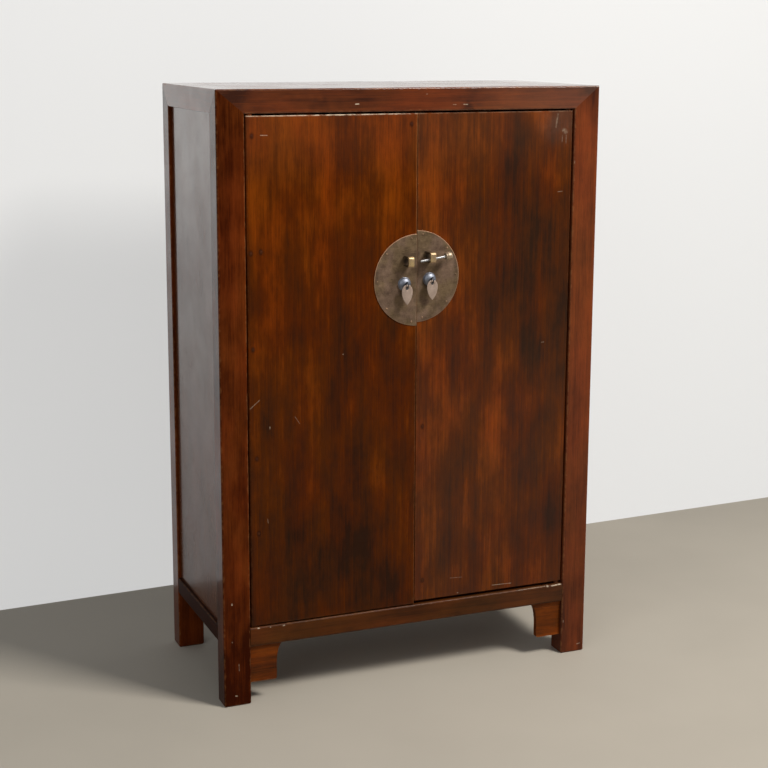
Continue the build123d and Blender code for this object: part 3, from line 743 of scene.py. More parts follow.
def door_material(side, sizes, colours):
    """One material for a whole door, so that tone and grain run on over its boards."""
    low, high = leaf_box(side)
    stops = (
        (0.05, colours.door_deep),
        (0.50, colours.door_mid),
        (0.95, colours.door_warm),
    )
    gloss = DOOR_GLOSS[side]
    finish = Finish(stops, streak=1.35, gloss=gloss, wear=0.15, roughness=0.36, specular=0.03, front=1.0)
    halo_width = sizes.peg_radius * PEG_HALO_WIDTH
    halo_height = sizes.peg_radius * PEG_HALO_HEIGHT

    def warmth(place):
        return patched_tone(place, DOOR_STAINS_AND_SHADING[side], DOOR_LEVEL[side])

    def marks(place, ragged):
        x, _, z = place.split()
        rubbed = soft_patch_mask(place, TOP_EDGE_WORN) * 0.75 + 0.25
        at_top = (high.z - z).rise(0.0024, 0.0009) * (z - high.z).rise(0.0006, 0.0001)
        along_top = at_top * ragged.rise(0.36, 0.56) * rubbed * TOP_EDGE_WEAR[side]
        # Wear and painted highlight along the meeting edge, stronger towards the top.
        to_seam = high.x - x if side == "left" else x - low.x
        top_highlight_share = 0.3 + z.rise(0.80, 0.92) * 0.7
        seam_wear_and_highlight = to_seam.rise(0.0019, 0.0007) * (0.4 + ragged * 0.8) * top_highlight_share * SEAM_WEAR_AND_HIGHLIGHT[side]
        scratches = front_scratches(place, low, DOOR_SCRATCHES[side], ragged)
        halos = [
            soft_patch_mask(place, SoftPatch(x_peg, z_peg, halo_width, halo_height, 1.0))
            for x_peg, z_peg in DOOR_PEGS[side]
        ]
        dark = halos[0]
        for halo in halos[1:]:
            dark = dark.greater(halo)
        # Painted sheen near the top and across the right door, and the scuffed corner in the same pale
        # colour.
        painted_sheen_and_scuffs = z.rise(0.94, 1.08) * TOP_PAINTED_SHEEN + DOOR_PAINTED_SHEEN[side]
        painted_sheen_and_scuffs = painted_sheen_and_scuffs + soft_patch_mask(place, SCUFFED_CORNER) * ragged * SCUFFED_CORNER.strength
        return [
            (painted_sheen_and_scuffs, colours.painted_sheen_and_scuffs),
            (dark * 0.8, DIRT_AND_SHADE),
            (seam_wear_and_highlight, colours.worn_wood),
            (along_top.greater(scratches), colours.chipped_wood),
        ]

    return wood_material(f"{side}_door_leaf", low, high, "Z", finish, sizes, colours, warmth, marks)


class CABINET_OT_doors(bpy.types.Operator):
    """Finish both doors and set the pegs in their stiles."""

    bl_idname = "cabinet.doors"
    bl_label = "Doors"

    def execute(self, context):
        colours = context.scene.cabinet_colours
        sizes = context.scene.cabinet_sizes
        for side in SIDES:
            material = door_material(side, sizes, colours)
            for board in DOOR_BOARDS:
                dress(f"{side}_{board}", material)
            low, high = leaf_box(side)
            shape = bmesh.new()
            for x, z in DOOR_PEGS[side]:
                add_dome(shape, Vector((x, low.y, z)), sizes.peg_radius, sizes.peg_radius * PEG_BULGE)
            finish_shape(shape)
            peg_tones = two_tone(colours.door_deep, colours.door_mid)
            finish = Finish(peg_tones, streak=0.6, gloss=0.1, wear=0.0, roughness=0.5)
            peg_wood = wood_material(f"{side}_pegs", low, high, "Y", finish, sizes, colours)
            add_piece(f"{side}_door_pegs", shape, peg_wood, f"{side}_door", "door_wood")
        return {"FINISHED"}


# Shapes of the hardware

MERGE_DISTANCE = 1e-7
TO_FRONT = Matrix.Rotation(math.radians(90), 4, "X")


def merge(shape):
    """Merges doubles and points faces outwards."""
    bmesh.ops.remove_doubles(shape, verts=shape.verts[:], dist=MERGE_DISTANCE)
    bmesh.ops.recalc_face_normals(shape, faces=shape.faces[:])


def finish_shape(shape, smooth_below=math.radians(38)):
    """Merges doubles, points faces outwards and shades them smooth up to an angle."""
    merge(shape)
    for face in shape.faces:
        face.smooth = True
    for edge in shape.edges:
        edge.smooth = edge.is_manifold and edge.calc_face_angle(0.0) < smooth_below


def add_object(name, shape, material):
    """Makes a shape an object of the scene."""
    mesh = bpy.data.meshes.new(name)
    shape.to_mesh(mesh)
    shape.free()
    mesh.materials.append(material)
    piece = bpy.data.objects.new(name, mesh)
    bpy.context.scene.collection.objects.link(piece)
    return piece


def add_piece(name, shape, material, body, slot, *nodes):
    """Makes a shape a piece that rides on a body and stands for some CAD nodes."""
    piece = add_object(name, shape, material)
    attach(piece, body)
    if nodes:
        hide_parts(*nodes)


def facing_front(centre):
    """Matrix that turns a flat shape to face -Y, with its middle at a point."""
    return Matrix.Translation(centre) @ TO_FRONT


def add_dome(shape, foot, radius, height):
    """Closed dome on a face that looks to -Y."""
    place = Matrix.Translation(foot) @ Matrix.Diagonal((radius, height, radius, 1.0)) @ TO_FRONT
    made = bmesh.ops.create_uvsphere(shape, u_segments=20, v_segments=12, radius=1.0, matrix=place)
    faces = unique(face for vert in made["verts"] for face in vert.link_faces)
    edges = unique(edge for vert in made["verts"] for edge in vert.link_edges)
    cut = bmesh.ops.bisect_plane(
        shape,
        geom=made["verts"] + edges + faces,
        dist=radius * 1e-4,
        plane_co=foot,
        plane_no=(0.0, 1.0, 0.0),
        clear_outer=True,
    )
    rim = [item for item in cut["geom_cut"] if isinstance(item, bmesh.types.BMEdge)]
    bmesh.ops.contextual_create(shape, geom=rim)


def add_turned(shape, profile, foot, turn, steps):
    """Turned form: a profile of (radius, height) spun round an axis that starts at foot along turn's Z."""
    place = Matrix.Translation(foot) @ turn
    verts = [shape.verts.new(place @ Vector((radius, 0.0, height))) for radius, height in profile]
    edges = [shape.edges.new(pair) for pair in zip(verts, verts[1:])]
    bmesh.ops.spin(
        shape,
        geom=verts + edges,
        cent=foot,
        axis=place.to_3x3() @ Vector((0.0, 0.0, 1.0)),
        angle=math.tau,
        steps=steps,
        use_merge=True,
    )


def unique(items):
    """The items without repeats, in their order."""
    return list(dict.fromkeys(items))


def with_edges(faces):
    """Faces and their edges, so that extruding an end leaves no face behind inside."""
    return faces + unique(edge for face in faces for edge in face.edges)


def push(shape, faces, move):
    """Extrudes faces by a move and returns the new end faces."""
    made = bmesh.ops.extrude_face_region(shape, geom=with_edges(faces))
    verts = [item for item in made["geom"] if isinstance(item, bmesh.types.BMVert)]
    bmesh.ops.translate(shape, verts=verts, vec=move)
    return [item for item in made["geom"] if isinstance(item, bmesh.types.BMFace)]


def round_edges(shape, edges, offset, segments=3):
    """Rounds edges."""
    bmesh.ops.bevel(
        shape,
        geom=edges,
        offset=offset,
        segments=segments,
        profile=0.5,
        affect="EDGES",
        material=-1,
        clamp_overlap=True,
    )


# Metals


class Metal(NamedTuple):
    """How a metal is coloured and rubbed."""

    dull: tuple
    bright: tuple
    rubbed: tuple
    roughness: float
    metallic: float
    mottle: float
    scratches: float
    tinted: bool = False


OLIVE_BRASS = (0.98, 0.97, 0.84)
ROSE_BRASS = (1.03, 0.98, 1.05)
METAL_RELIEF = 0.00018
RUBBED_REACH = (0.0009, 0.0002)

# How fine each pattern is, in noise cells per metre
HUE_SCALE = 24.0
MOTTLE_SCALE = 70.0
SPOT_SCALE = 330.0
PIT_SCALE = 900.0
HAIRLINE_SCALE = 1900.0
HAIRLINE_STRETCH = (0.04, 1.0, 1.0)


def metal_material(name, metal, low, high, rim=None, staple_shade=None, painted_shade_from=None):
    """Aged metal: mottled tarnish, fine scratches along X, rubbed arrises and small pits.

    rim is the centre and radius of a round plate whose rim is rubbed bright, with a painted highlight that
    is strongest in its top half. The next argument is a patch of painted shade on the plate under a
    staple's loop, and the last is the depth behind the front from which the metal is darkened as painted
    shade inside a loop.
    """
    material, surface, start = new_material(name)
    place = object_place(start)
    mottle = place.noise(MOTTLE_SCALE, 5.0, 0.62)
    spots = place.noise(SPOT_SCALE, 3.0, 0.6)
    fine = place.vector("MULTIPLY", HAIRLINE_STRETCH).noise(HAIRLINE_SCALE, 2.0)
    scratch = fine.rise(0.60, 0.72) * metal.scratches
    pits = place.noise(PIT_SCALE, 1.0).rise(0.68, 0.76)
    level = 0.35 + (mottle - 0.5) * 1.6 * metal.mottle + (spots - 0.5) * 0.5 * metal.mottle
    rubbed = distance_to_arris(place, low, high).rise(*RUBBED_REACH) * 0.6
    if rim:
        centre, radius = rim
        flat = place.vector("SUBTRACT", centre).vector("MULTIPLY", (1.0, 0.0, 1.0))
        # Painted highlight: the rim is brighter towards its top, where the light falls.
        top_highlight_share = 0.2 + flat.split()[2].rise(-0.5 * radius, 0.4 * radius) * 0.8
        at_rim = flat.measure("LENGTH").rise(radius - 0.0014, radius - 0.0004)
        rubbed = (rubbed * 0.5).greater(at_rim * top_highlight_share)
    level = level + scratch * 0.35
    shade = level.rise(0.0, 1.0).mix(metal.dull, metal.bright)
    if metal.tinted:
        hue = place.noise(HUE_SCALE, 3.0).rise(0.38, 0.62).mix(OLIVE_BRASS, ROSE_BRASS)
        shade = shade.vector("MULTIPLY", hue)
    shade = rubbed.mix(shade, metal.rubbed)
    shade = (pits * 0.5).mix(shade, DIRT_AND_SHADE)
    # Painted shade on the plate under the staple's loop.
    if staple_shade:
        shade = (soft_patch_mask(place, staple_shade) * staple_shade.strength).mix(shade, DIRT_AND_SHADE)
    # Painted shade: the metal behind the front strap, inside the loop, is darkened.
    if painted_shade_from:
        depth = place.split()[1] - low[1]
        shade = (depth.rise(painted_shade_from, painted_shade_from * 2.5) * 0.85).mix(shade, DIRT_AND_SHADE)
    rough = metal.roughness + (mottle - 0.5) * 0.35 * metal.mottle - rubbed * 0.1 + pits * 0.2
    relief = mottle * 0.5 + spots * 0.2 - scratch * 0.25 - pits * 0.4
    sockets = {
        "Base Color": shade,
        "Roughness": rough,
        "Metallic": metal.metallic - pits * 0.3,
        "Normal": relief.bump(METAL_RELIEF, 0.8),
    }
    set_sockets(surface, start.tree, sockets)
    return material


class CABINET_OT_lock_plates(bpy.types.Operator):
    """Make the two halves of the round lock plate, with an uneven, beaten face."""

    bl_idname = "cabinet.lock_plates"
    bl_label = "Lock Plates"

    cells = 56
    grid_margin = 1.02
    rim_cuts = 144
    broad_dents = 55.0
    small_dents = 140.0
    # Size and strength of the painted shade on the plate under each staple's loop.
    staple_shade_half_width = 0.0085
    staple_shade_half_height = 0.0100
    staple_shade_strength = 0.85

    def execute(self, context):
        colours = context.scene.cabinet_colours
        sizes = context.scene.cabinet_sizes
        brass = Metal(
            colours.brass_dull, colours.brass_bright, colours.rim_brass,
            roughness=0.5, metallic=0.7, mottle=0.55, scratches=0.8, tinted=True,
        )
        meeting = (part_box("left_lock_plate")[1].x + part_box("right_lock_plate")[0].x) / 2
        for side, way in SIDES.items():
            low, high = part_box(f"{side}_lock_plate")
            radius = (high.z - low.z) / 2
            seam = high.x if way < 0 else low.x
            centre = Vector((meeting, low.y, (low.z + high.z) / 2))
            shape = bmesh.new()
            bmesh.ops.create_grid(
                shape,
                x_segments=self.cells,
                y_segments=self.cells,
                size=radius * self.grid_margin,
                matrix=facing_front(centre),
            )
            self.trim(shape, Vector((seam, 0.0, 0.0)), Vector((-way, 0.0, 0.0)))
            flat = radius * math.cos(math.pi / self.rim_cuts)
            for step in range(self.rim_cuts):
                angle = math.tau * (step + 0.5) / self.rim_cuts
                outwards = Vector((math.cos(angle), 0.0, math.sin(angle)))
                self.trim(shape, centre + outwards * flat, outwards)
            push(shape, shape.faces[:], (0.0, high.y - low.y, 0.0))
            bmesh.ops.recalc_face_normals(shape, faces=shape.faces[:])
            middle = (low.y + high.y) / 2
            front_rim = [
                edge
                for edge in shape.edges
                if edge.calc_face_angle(0.0) > 1.0 and all(vert.co.y < middle for vert in edge.verts)
            ]
            round_edges(shape, front_rim, sizes.plate_rim)
            for vert in shape.verts:
                if vert.co.y < middle:
                    beaten = noise.noise(vert.co * self.broad_dents)
                    beaten += 0.5 * noise.noise(vert.co * self.small_dents)
                    vert.co.y += sizes.plate_beating * (0.75 + 0.5 * beaten)
            finish_shape(shape)
            staple_low, staple_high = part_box(f"{side}_staple")
            staple = (staple_low + staple_high) / 2
            # Painted shade under this staple's loop.
            staple_shade = SoftPatch(
                staple.x, staple.z, self.staple_shade_half_width, self.staple_shade_half_height, self.staple_shade_strength
            )
            material = metal_material(f"{side}_plate_brass", brass, low, high, (centre, radius), staple_shade)
            add_piece(
                f"{side}_plate", shape, material, f"{side}_door", "plate_brass", f"{side}_lock_plate"
            )
        return {"FINISHED"}

    @staticmethod
    def trim(shape, point, outwards):
        """Cuts off what lies beyond a plane."""
        bmesh.ops.bisect_plane(
            shape,
            geom=shape.verts[:] + shape.edges[:] + shape.faces[:],
            dist=MERGE_DISTANCE,
            plane_co=point,
            plane_no=outwards,
            clear_outer=True,
        )


class CABINET_OT_plate_nails(bpy.types.Operator):
    """Make the small domed nails round the rim of the lock plate."""

    bl_idname = "cabinet.plate_nails"
    bl_label = "Plate Nails"

    angles = (8.0, 50.0, 90.0, 130.0, 172.0)
    rim_inset = 0.007
    head_radius = 0.0019
    head_height = 0.0010
    seat = 0.0002

    def execute(self, context):
        colours = context.scene.cabinet_colours
        brass = Metal(
            colours.brass_dull, colours.rim_brass, colours.brass_bright,
            roughness=0.4, metallic=0.8, mottle=0.5, scratches=0.3,
        )
        for side, way in SIDES.items():
            low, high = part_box(f"{side}_lock_plate")
            ring = (high.z - low.z) / 2 - self.rim_inset
            seam = high.x if way < 0 else low.x
            shape = bmesh.new()
            for angle in self.angles:
                across = way * ring * math.sin(math.radians(angle))
                up = ring * math.cos(math.radians(angle))
                foot = Vector((seam + across, low.y + self.seat, (low.z + high.z) / 2 + up))
                add_dome(shape, foot, self.head_radius, self.head_height)
            finish_shape(shape)
            material = metal_material(f"{side}_nail_brass", brass, low, high)
            add_piece(f"{side}_nails", shape, material, f"{side}_door", "nail_brass", f"{side}_plate_nails")
        return {"FINISHED"}


class CABINET_OT_staples(bpy.types.Operator):
    """Make the staples: straps bent into flat-fronted loops, with their tails clinched inside the doors."""

    bl_idname = "cabinet.staples"
    bl_label = "Staples"

    strap = 0.0030
    inner_height = 0.0136
    inner_bend = 0.0015
    tail_bend = 0.0006
    bend_steps = 6

    def execute(self, context):
        colours = context.scene.cabinet_colours
        sizes = context.scene.cabinet_sizes
        brass = Metal(
            colours.brass_bright, colours.staple_brass, colours.staple_brass,
            roughness=0.42, metallic=0.7, mottle=0.6, scratches=0.5,
        )
        outer = self.inner_height / 2 + self.strap
        corner = self.inner_bend + self.strap
        for side in SIDES:
            low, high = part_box(f"{side}_staple")
            middle = (low + high) / 2
            front = low.y + corner
            back = high.y - self.strap - self.tail_bend
            turn = outer + self.tail_bend
            section = Matrix.Diagonal(((high.x - low.x) / 2, self.strap / 2, 1.0, 1.0))
            shape = bmesh.new()
            bmesh.ops.create_grid(
                shape,
                x_segments=1,
                y_segments=1,
                size=1.0,
                matrix=Matrix.Translation((middle.x, high.y - self.strap / 2, low.z)) @ section,
            )
            end = push(shape, shape.faces[:], (0.0, 0.0, middle.z - turn - low.z))
            end = self.bend(shape, end, back, middle.z - turn, 1)
            end = push(shape, end, (0.0, front - back, 0.0))
            end = self.bend(shape, end, front, middle.z - outer + corner, -1)
            end = push(shape, end, (0.0, 0.0, 2 * (outer - corner)))
            end = self.bend(shape, end, front, middle.z + outer - corner, -1)
            end = push(shape, end, (0.0, back - front, 0.0))
            end = self.bend(shape, end, back, middle.z + turn, 1)
            push(shape, end, (0.0, 0.0, high.z - middle.z - turn))
            merge(shape)
            long_edges = [edge for edge in shape.edges if edge.calc_face_angle(0.0) > 1.2]
            round_edges(shape, long_edges, sizes.strap_rounding, 2)
            finish_shape(shape)
            # The strap is darkened as painted shade from one strap's depth behind the front.
            material = metal_material(f"{side}_staple_brass", brass, low, high, painted_shade_from=self.strap)
            add_piece(f"{side}_strap", shape, material, f"{side}_door", "staple_brass", f"{side}_staple")
        return {"FINISHED"}

    def bend(self, shape, faces, y, z, way):
        """Bends the strap a quarter turn about an axis along X."""
        spun = bmesh.ops.spin(
            shape,
            geom=with_edges(faces),
            cent=(0.0, y, z),
            axis=(1.0, 0.0, 0.0),
            angle=way * math.pi / 2,
            steps=self.bend_steps,
        )
        return [item for item in spun["geom_last"] if isinstance(item, bmesh.types.BMFace)]


class CABINET_OT_pulls(bpy.types.Operator):
    """Make the pulls: domed bosses, eyes and leaf-shaped pendants."""

    bl_idname = "cabinet.pulls"
    bl_label = "Pulls"

    eye_radius = 0.005
    wire_radius = 0.0011
    shank_radius = 0.0018
    hole_radius = 0.0026
    hole_below_top = 0.007
    shoulder_drop = 0.013
    neck_share = 0.965
    dome_steps = 14
    dome_cuts = 48
    wire_cuts = 12
    ring_cuts = 36
    shank_cuts = 20
    outline_points = 72
    face_rings = 6
    rim_rounding = 0.0003

    def execute(self, context):
        colours = context.scene.cabinet_colours
        sizes = context.scene.cabinet_sizes
        for side in SIDES:
            self.boss(side, colours, sizes)
            self.eye(side, colours)
            self.pendant(side, colours, sizes)
        return {"FINISHED"}

    def boss(self, side, colours, sizes):
        """Domed boss on a thin foot."""
        low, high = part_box(f"{side}_pull_boss")
        radius = (high.x - low.x) / 2
        height = high.y - low.y
        middle = (low + high) / 2
        neck = radius * self.neck_share
        start = sizes.boss_foot
        profile = [(0.0, 0.0), (radius, 0.0), (radius, start * 0.6), (neck, start)]
        for step in range(1, self.dome_steps):
            angle = math.pi / 2 * step / self.dome_steps
            profile.append((neck * math.cos(angle), start + (height - start) * math.sin(angle)))
        profile.append((0.0, height))
        shape = bmesh.new()
        add_turned(shape, profile, Vector((middle.x, high.y, middle.z)), TO_FRONT, self.dome_cuts)
        finish_shape(shape)
        steel = Metal(
            colours.steel_blue, colours.steel_bright, colours.steel_bright,
            roughness=0.5, metallic=1.0, mottle=0.4, scratches=0.3,
        )
        material = metal_material(f"{side}_boss_steel", steel, low, high)
        add_piece(f"{side}_boss", shape, material, f"{side}_door", "boss_metal", f"{side}_pull_boss")

    def eye(self, side, colours):
        """Ring of wire on a shank, with its two ends spread on the inside of the door."""
        low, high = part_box(f"{side}_pull_eye")
        boss_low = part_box(f"{side}_pull_boss")[0]
        middle = (low + high) / 2
        middle.y = low.y + self.eye_radius + self.wire_radius
        shape = bmesh.new()
        wire = bmesh.ops.create_circle(
            shape,
            segments=self.wire_cuts,
            radius=self.wire_radius,
            matrix=facing_front(middle + Vector((0.0, 0.0, self.eye_radius))),
        )
        edges = unique(edge for vert in wire["verts"] for edge in vert.link_edges)
        bmesh.ops.spin(
            shape,
            geom=wire["verts"] + edges,
            cent=middle,
            axis=(1.0, 0.0, 0.0),
            angle=math.tau,
            steps=self.ring_cuts,
            use_merge=True,
        )
        back = high.y - 2 * self.wire_radius
        shank_start = Vector((middle.x, back, middle.z))
        reach = back - (middle.y + self.eye_radius)
        neck = back - boss_low.y
        profile = [
            (0.0, 0.0),
            (self.shank_radius, 0.0),
            (self.shank_radius, neck),
            (self.shank_radius * 0.8, reach),
            (0.0, reach + self.wire_radius * 0.4),
        ]
        add_turned(shape, profile, shank_start, TO_FRONT, self.shank_cuts)
        foot = Vector((middle.x, high.y - self.wire_radius, low.z))
        run = high.z - low.z
        profile = [
            (0.0, 0.0),
            (self.wire_radius * 0.5, 0.0),
            (self.wire_radius, run * 0.1),
            (self.wire_radius, run * 0.9),
            (self.wire_radius * 0.5, run),
            (0.0, run),
        ]
        add_turned(shape, profile, foot, Matrix.Identity(4), self.wire_cuts)
        finish_shape(shape)
        steel = Metal(
            colours.steel_dark, colours.steel_dark, colours.steel_bright,
            roughness=0.36, metallic=1.0, mottle=0.6, scratches=0.3,
        )
        material = metal_material(f"{side}_eye_steel", steel, low, high)
        add_piece(f"{side}_eye", shape, material, f"{side}_door", "boss_metal", f"{side}_pull_eye")

    def pendant(self, side, colours, sizes):
        """Leaf-shaped pendant with a hole near its top and gently crowned faces."""
        low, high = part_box(f"{side}_pull_pendant")
        half_width = (high.x - low.x) / 2
        hole = Vector(((low.x + high.x) / 2, (low.y + high.y) / 2, high.z - self.hole_below_top))
        above_widest = self.shoulder_drop - self.hole_below_top
        taper = high.z - low.z - self.shoulder_drop
        side_radius = (half_width**2 + taper**2) / (2 * half_width)
        beyond_middle = side_radius - half_width

        def reach(direction):
            """Distance from the hole to the outline: an elliptic crown over two arcs to the tip."""
            across = abs(direction.x)
            a = (across / half_width) ** 2 + (direction.z / self.shoulder_drop) ** 2
            b = direction.z * above_widest / self.shoulder_drop**2
            c = (above_widest / self.shoulder_drop) ** 2 - 1
            to_crown = (math.sqrt(b * b - a * c) - b) / a
            if above_widest + to_crown * direction.z >= 0:
                return to_crown
            b = across * beyond_middle + direction.z * above_widest
            c = beyond_middle**2 + above_widest**2 - side_radius**2
            return math.sqrt(b * b - c) - b

        shape = bmesh.new()
        turn = facing_front(hole)
        rim = bmesh.ops.create_circle(shape, segments=self.outline_points, radius=1.0, matrix=turn)["verts"]
        for vert in rim:
            direction = (vert.co - hole).normalized()
            vert.co = hole + direction * reach(direction)
        bore = bmesh.ops.create_circle(
            shape, segments=self.outline_points, radius=self.hole_radius, matrix=turn
        )["verts"]
        bmesh.ops.bridge_loops(shape, edges=shape.edges[:])
        bore_set = set(bore)
        spokes = [edge for edge in shape.edges if len(bore_set.intersection(edge.verts)) == 1]
        bmesh.ops.subdivide_edges(shape, edges=spokes, cuts=self.face_rings, use_grid_fill=True)
        half = (high.y - low.y) / 2
        edge_half = half - sizes.pendant_crown
        push(shape, shape.faces[:], (0.0, 2 * edge_half, 0.0))
        bmesh.ops.translate(shape, verts=shape.verts[:], vec=(0.0, -edge_half, 0.0))
        bmesh.ops.recalc_face_normals(shape, faces=shape.faces[:])
        rims = [edge for edge in shape.edges if edge.calc_face_angle(0.0) > 1.0]
        for vert in shape.verts:
            flat = Vector((vert.co.x - hole.x, 0.0, vert.co.z - hole.z))
            if flat.length < 1e-6:
                continue
            share = (flat.length - self.hole_radius) / (reach(flat.normalized()) - self.hole_radius)
            share = min(max(share, 0.0), 1.0)
            crown = sizes.pendant_crown * math.sin(math.pi * share) ** 0.7
            vert.co.y += math.copysign(crown, vert.co.y - hole.y)
        round_edges(shape, rims, self.rim_rounding, 2)
        finish_shape(shape, math.radians(50))
        pale = Metal(
            colours.pendant_dull, colours.pendant_pale, colours.pendant_pale,
            roughness=0.55, metallic=0.3, mottle=0.5, scratches=0.5,
        )
        material = metal_material(f"{side}_pendant_metal", pale, low, high)
        add_piece(
            f"{side}_pendant", shape, material, f"{side}_pull", "pendant_metal", f"{side}_pull_pendant"
        )


class CABINET_OT_lock_pin(bpy.types.Operator):
    """Make the sliding lock pin: a rod with a turned head."""

    bl_idname = "cabinet.lock_pin"
    bl_label = "Lock Pin"

    rod_radius = 0.002
    tip_rounding = 0.001
    head_radius = 0.0075
    head_length = 0.014
    tip_steps = 5
    rod_cuts = 24
    head_cuts = 40

    # The head's outline as shares of its radius and length, from the rod outwards
    head_outline = (
        (0.0, 0.0),
        (0.62, 0.0),
        (0.80, 0.02),
        (0.92, 0.08),
        (0.93, 0.15),
        (0.88, 0.19),
        (0.95, 0.24),
        (1.00, 0.36),
        (1.00, 0.58),
        (0.95, 0.74),
        (0.84, 0.87),
        (0.66, 0.96),
        (0.40, 0.995),
        (0.0, 1.0),
    )

    def execute(self, context):
        colours = context.scene.cabinet_colours
        left_low, left_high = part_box("left_staple")
        right_low, right_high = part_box("right_staple")
        rise = (right_low.z + right_high.z - left_low.z - left_high.z) / 2
        run = (right_low.x + right_high.x - left_low.x - left_high.x) / 2
        slope = math.atan2(rise, run)
        turn = Matrix.Rotation(math.radians(90) - slope, 4, "Y")
        axis = turn.to_3x3() @ Vector((0.0, 0.0, 1.0))
        rod_low, rod_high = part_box("lock_pin_rod")
        head_low, head_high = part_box("lock_pin_head")
        rod_middle = (rod_low + rod_high) / 2
        head_middle = (head_low + head_high) / 2
        rod_length = (rod_high.x - rod_low.x - 2 * self.rod_radius * math.sin(slope)) / math.cos(slope)
        steel = Metal(
            colours.steel_bright, colours.pin_pale, colours.pin_pale,
            roughness=0.34, metallic=0.7, mottle=0.4, scratches=0.4,
        )
        cast = Metal(
            colours.brass_bright, colours.head_pale, colours.pin_pale,
            roughness=0.42, metallic=0.6, mottle=0.6, scratches=0.2,
        )

        tip = self.tip_rounding
        profile = [(0.0, 0.0), (self.rod_radius - tip, 0.0)]
        for step in range(1, self.tip_steps + 1):
            angle = math.pi / 2 * step / self.tip_steps
            reach = self.rod_radius - tip + tip * math.sin(angle)
            profile.append((reach, tip - tip * math.cos(angle)))
        profile += [(self.rod_radius, rod_length), (0.0, rod_length)]
        shape = bmesh.new()
        add_turned(shape, profile, rod_middle - axis * rod_length / 2, turn, self.rod_cuts)
        finish_shape(shape)
        material = metal_material("pin_rod_metal", steel, rod_low, rod_high)
        add_piece("pin_rod", shape, material, "lock_pin", "pin_metal", "lock_pin_rod")

        profile = [(self.head_radius * out, self.head_length * up) for out, up in self.head_outline]
        shape = bmesh.new()
        head_start = head_middle - axis * self.head_length / 2
        add_turned(shape, profile, head_start, turn, self.head_cuts)
        finish_shape(shape)
        material = metal_material("pin_head_metal", cast, head_low, head_high)
        add_piece("pin_head", shape, material, "lock_pin", "pin_metal", "lock_pin_head")
        return {"FINISHED"}


# Stage


class Lamp(NamedTuple):
    """Square soft light."""

    name: str
    place: tuple
    size: float
    power: float
    tint: tuple


def ray_kinds(start):
    """Whether a ray comes from the camera, from a glossy surface, or through a clear one."""
    seen = start.node("ShaderNodeLightPath", output="Is Camera Ray")
    outputs = seen.socket.node.outputs
    glossy = Shade(start.tree, outputs["Is Glossy Ray"])
    through = Shade(start.tree, outputs["Is Transmission Ray"])
    return seen, glossy, through


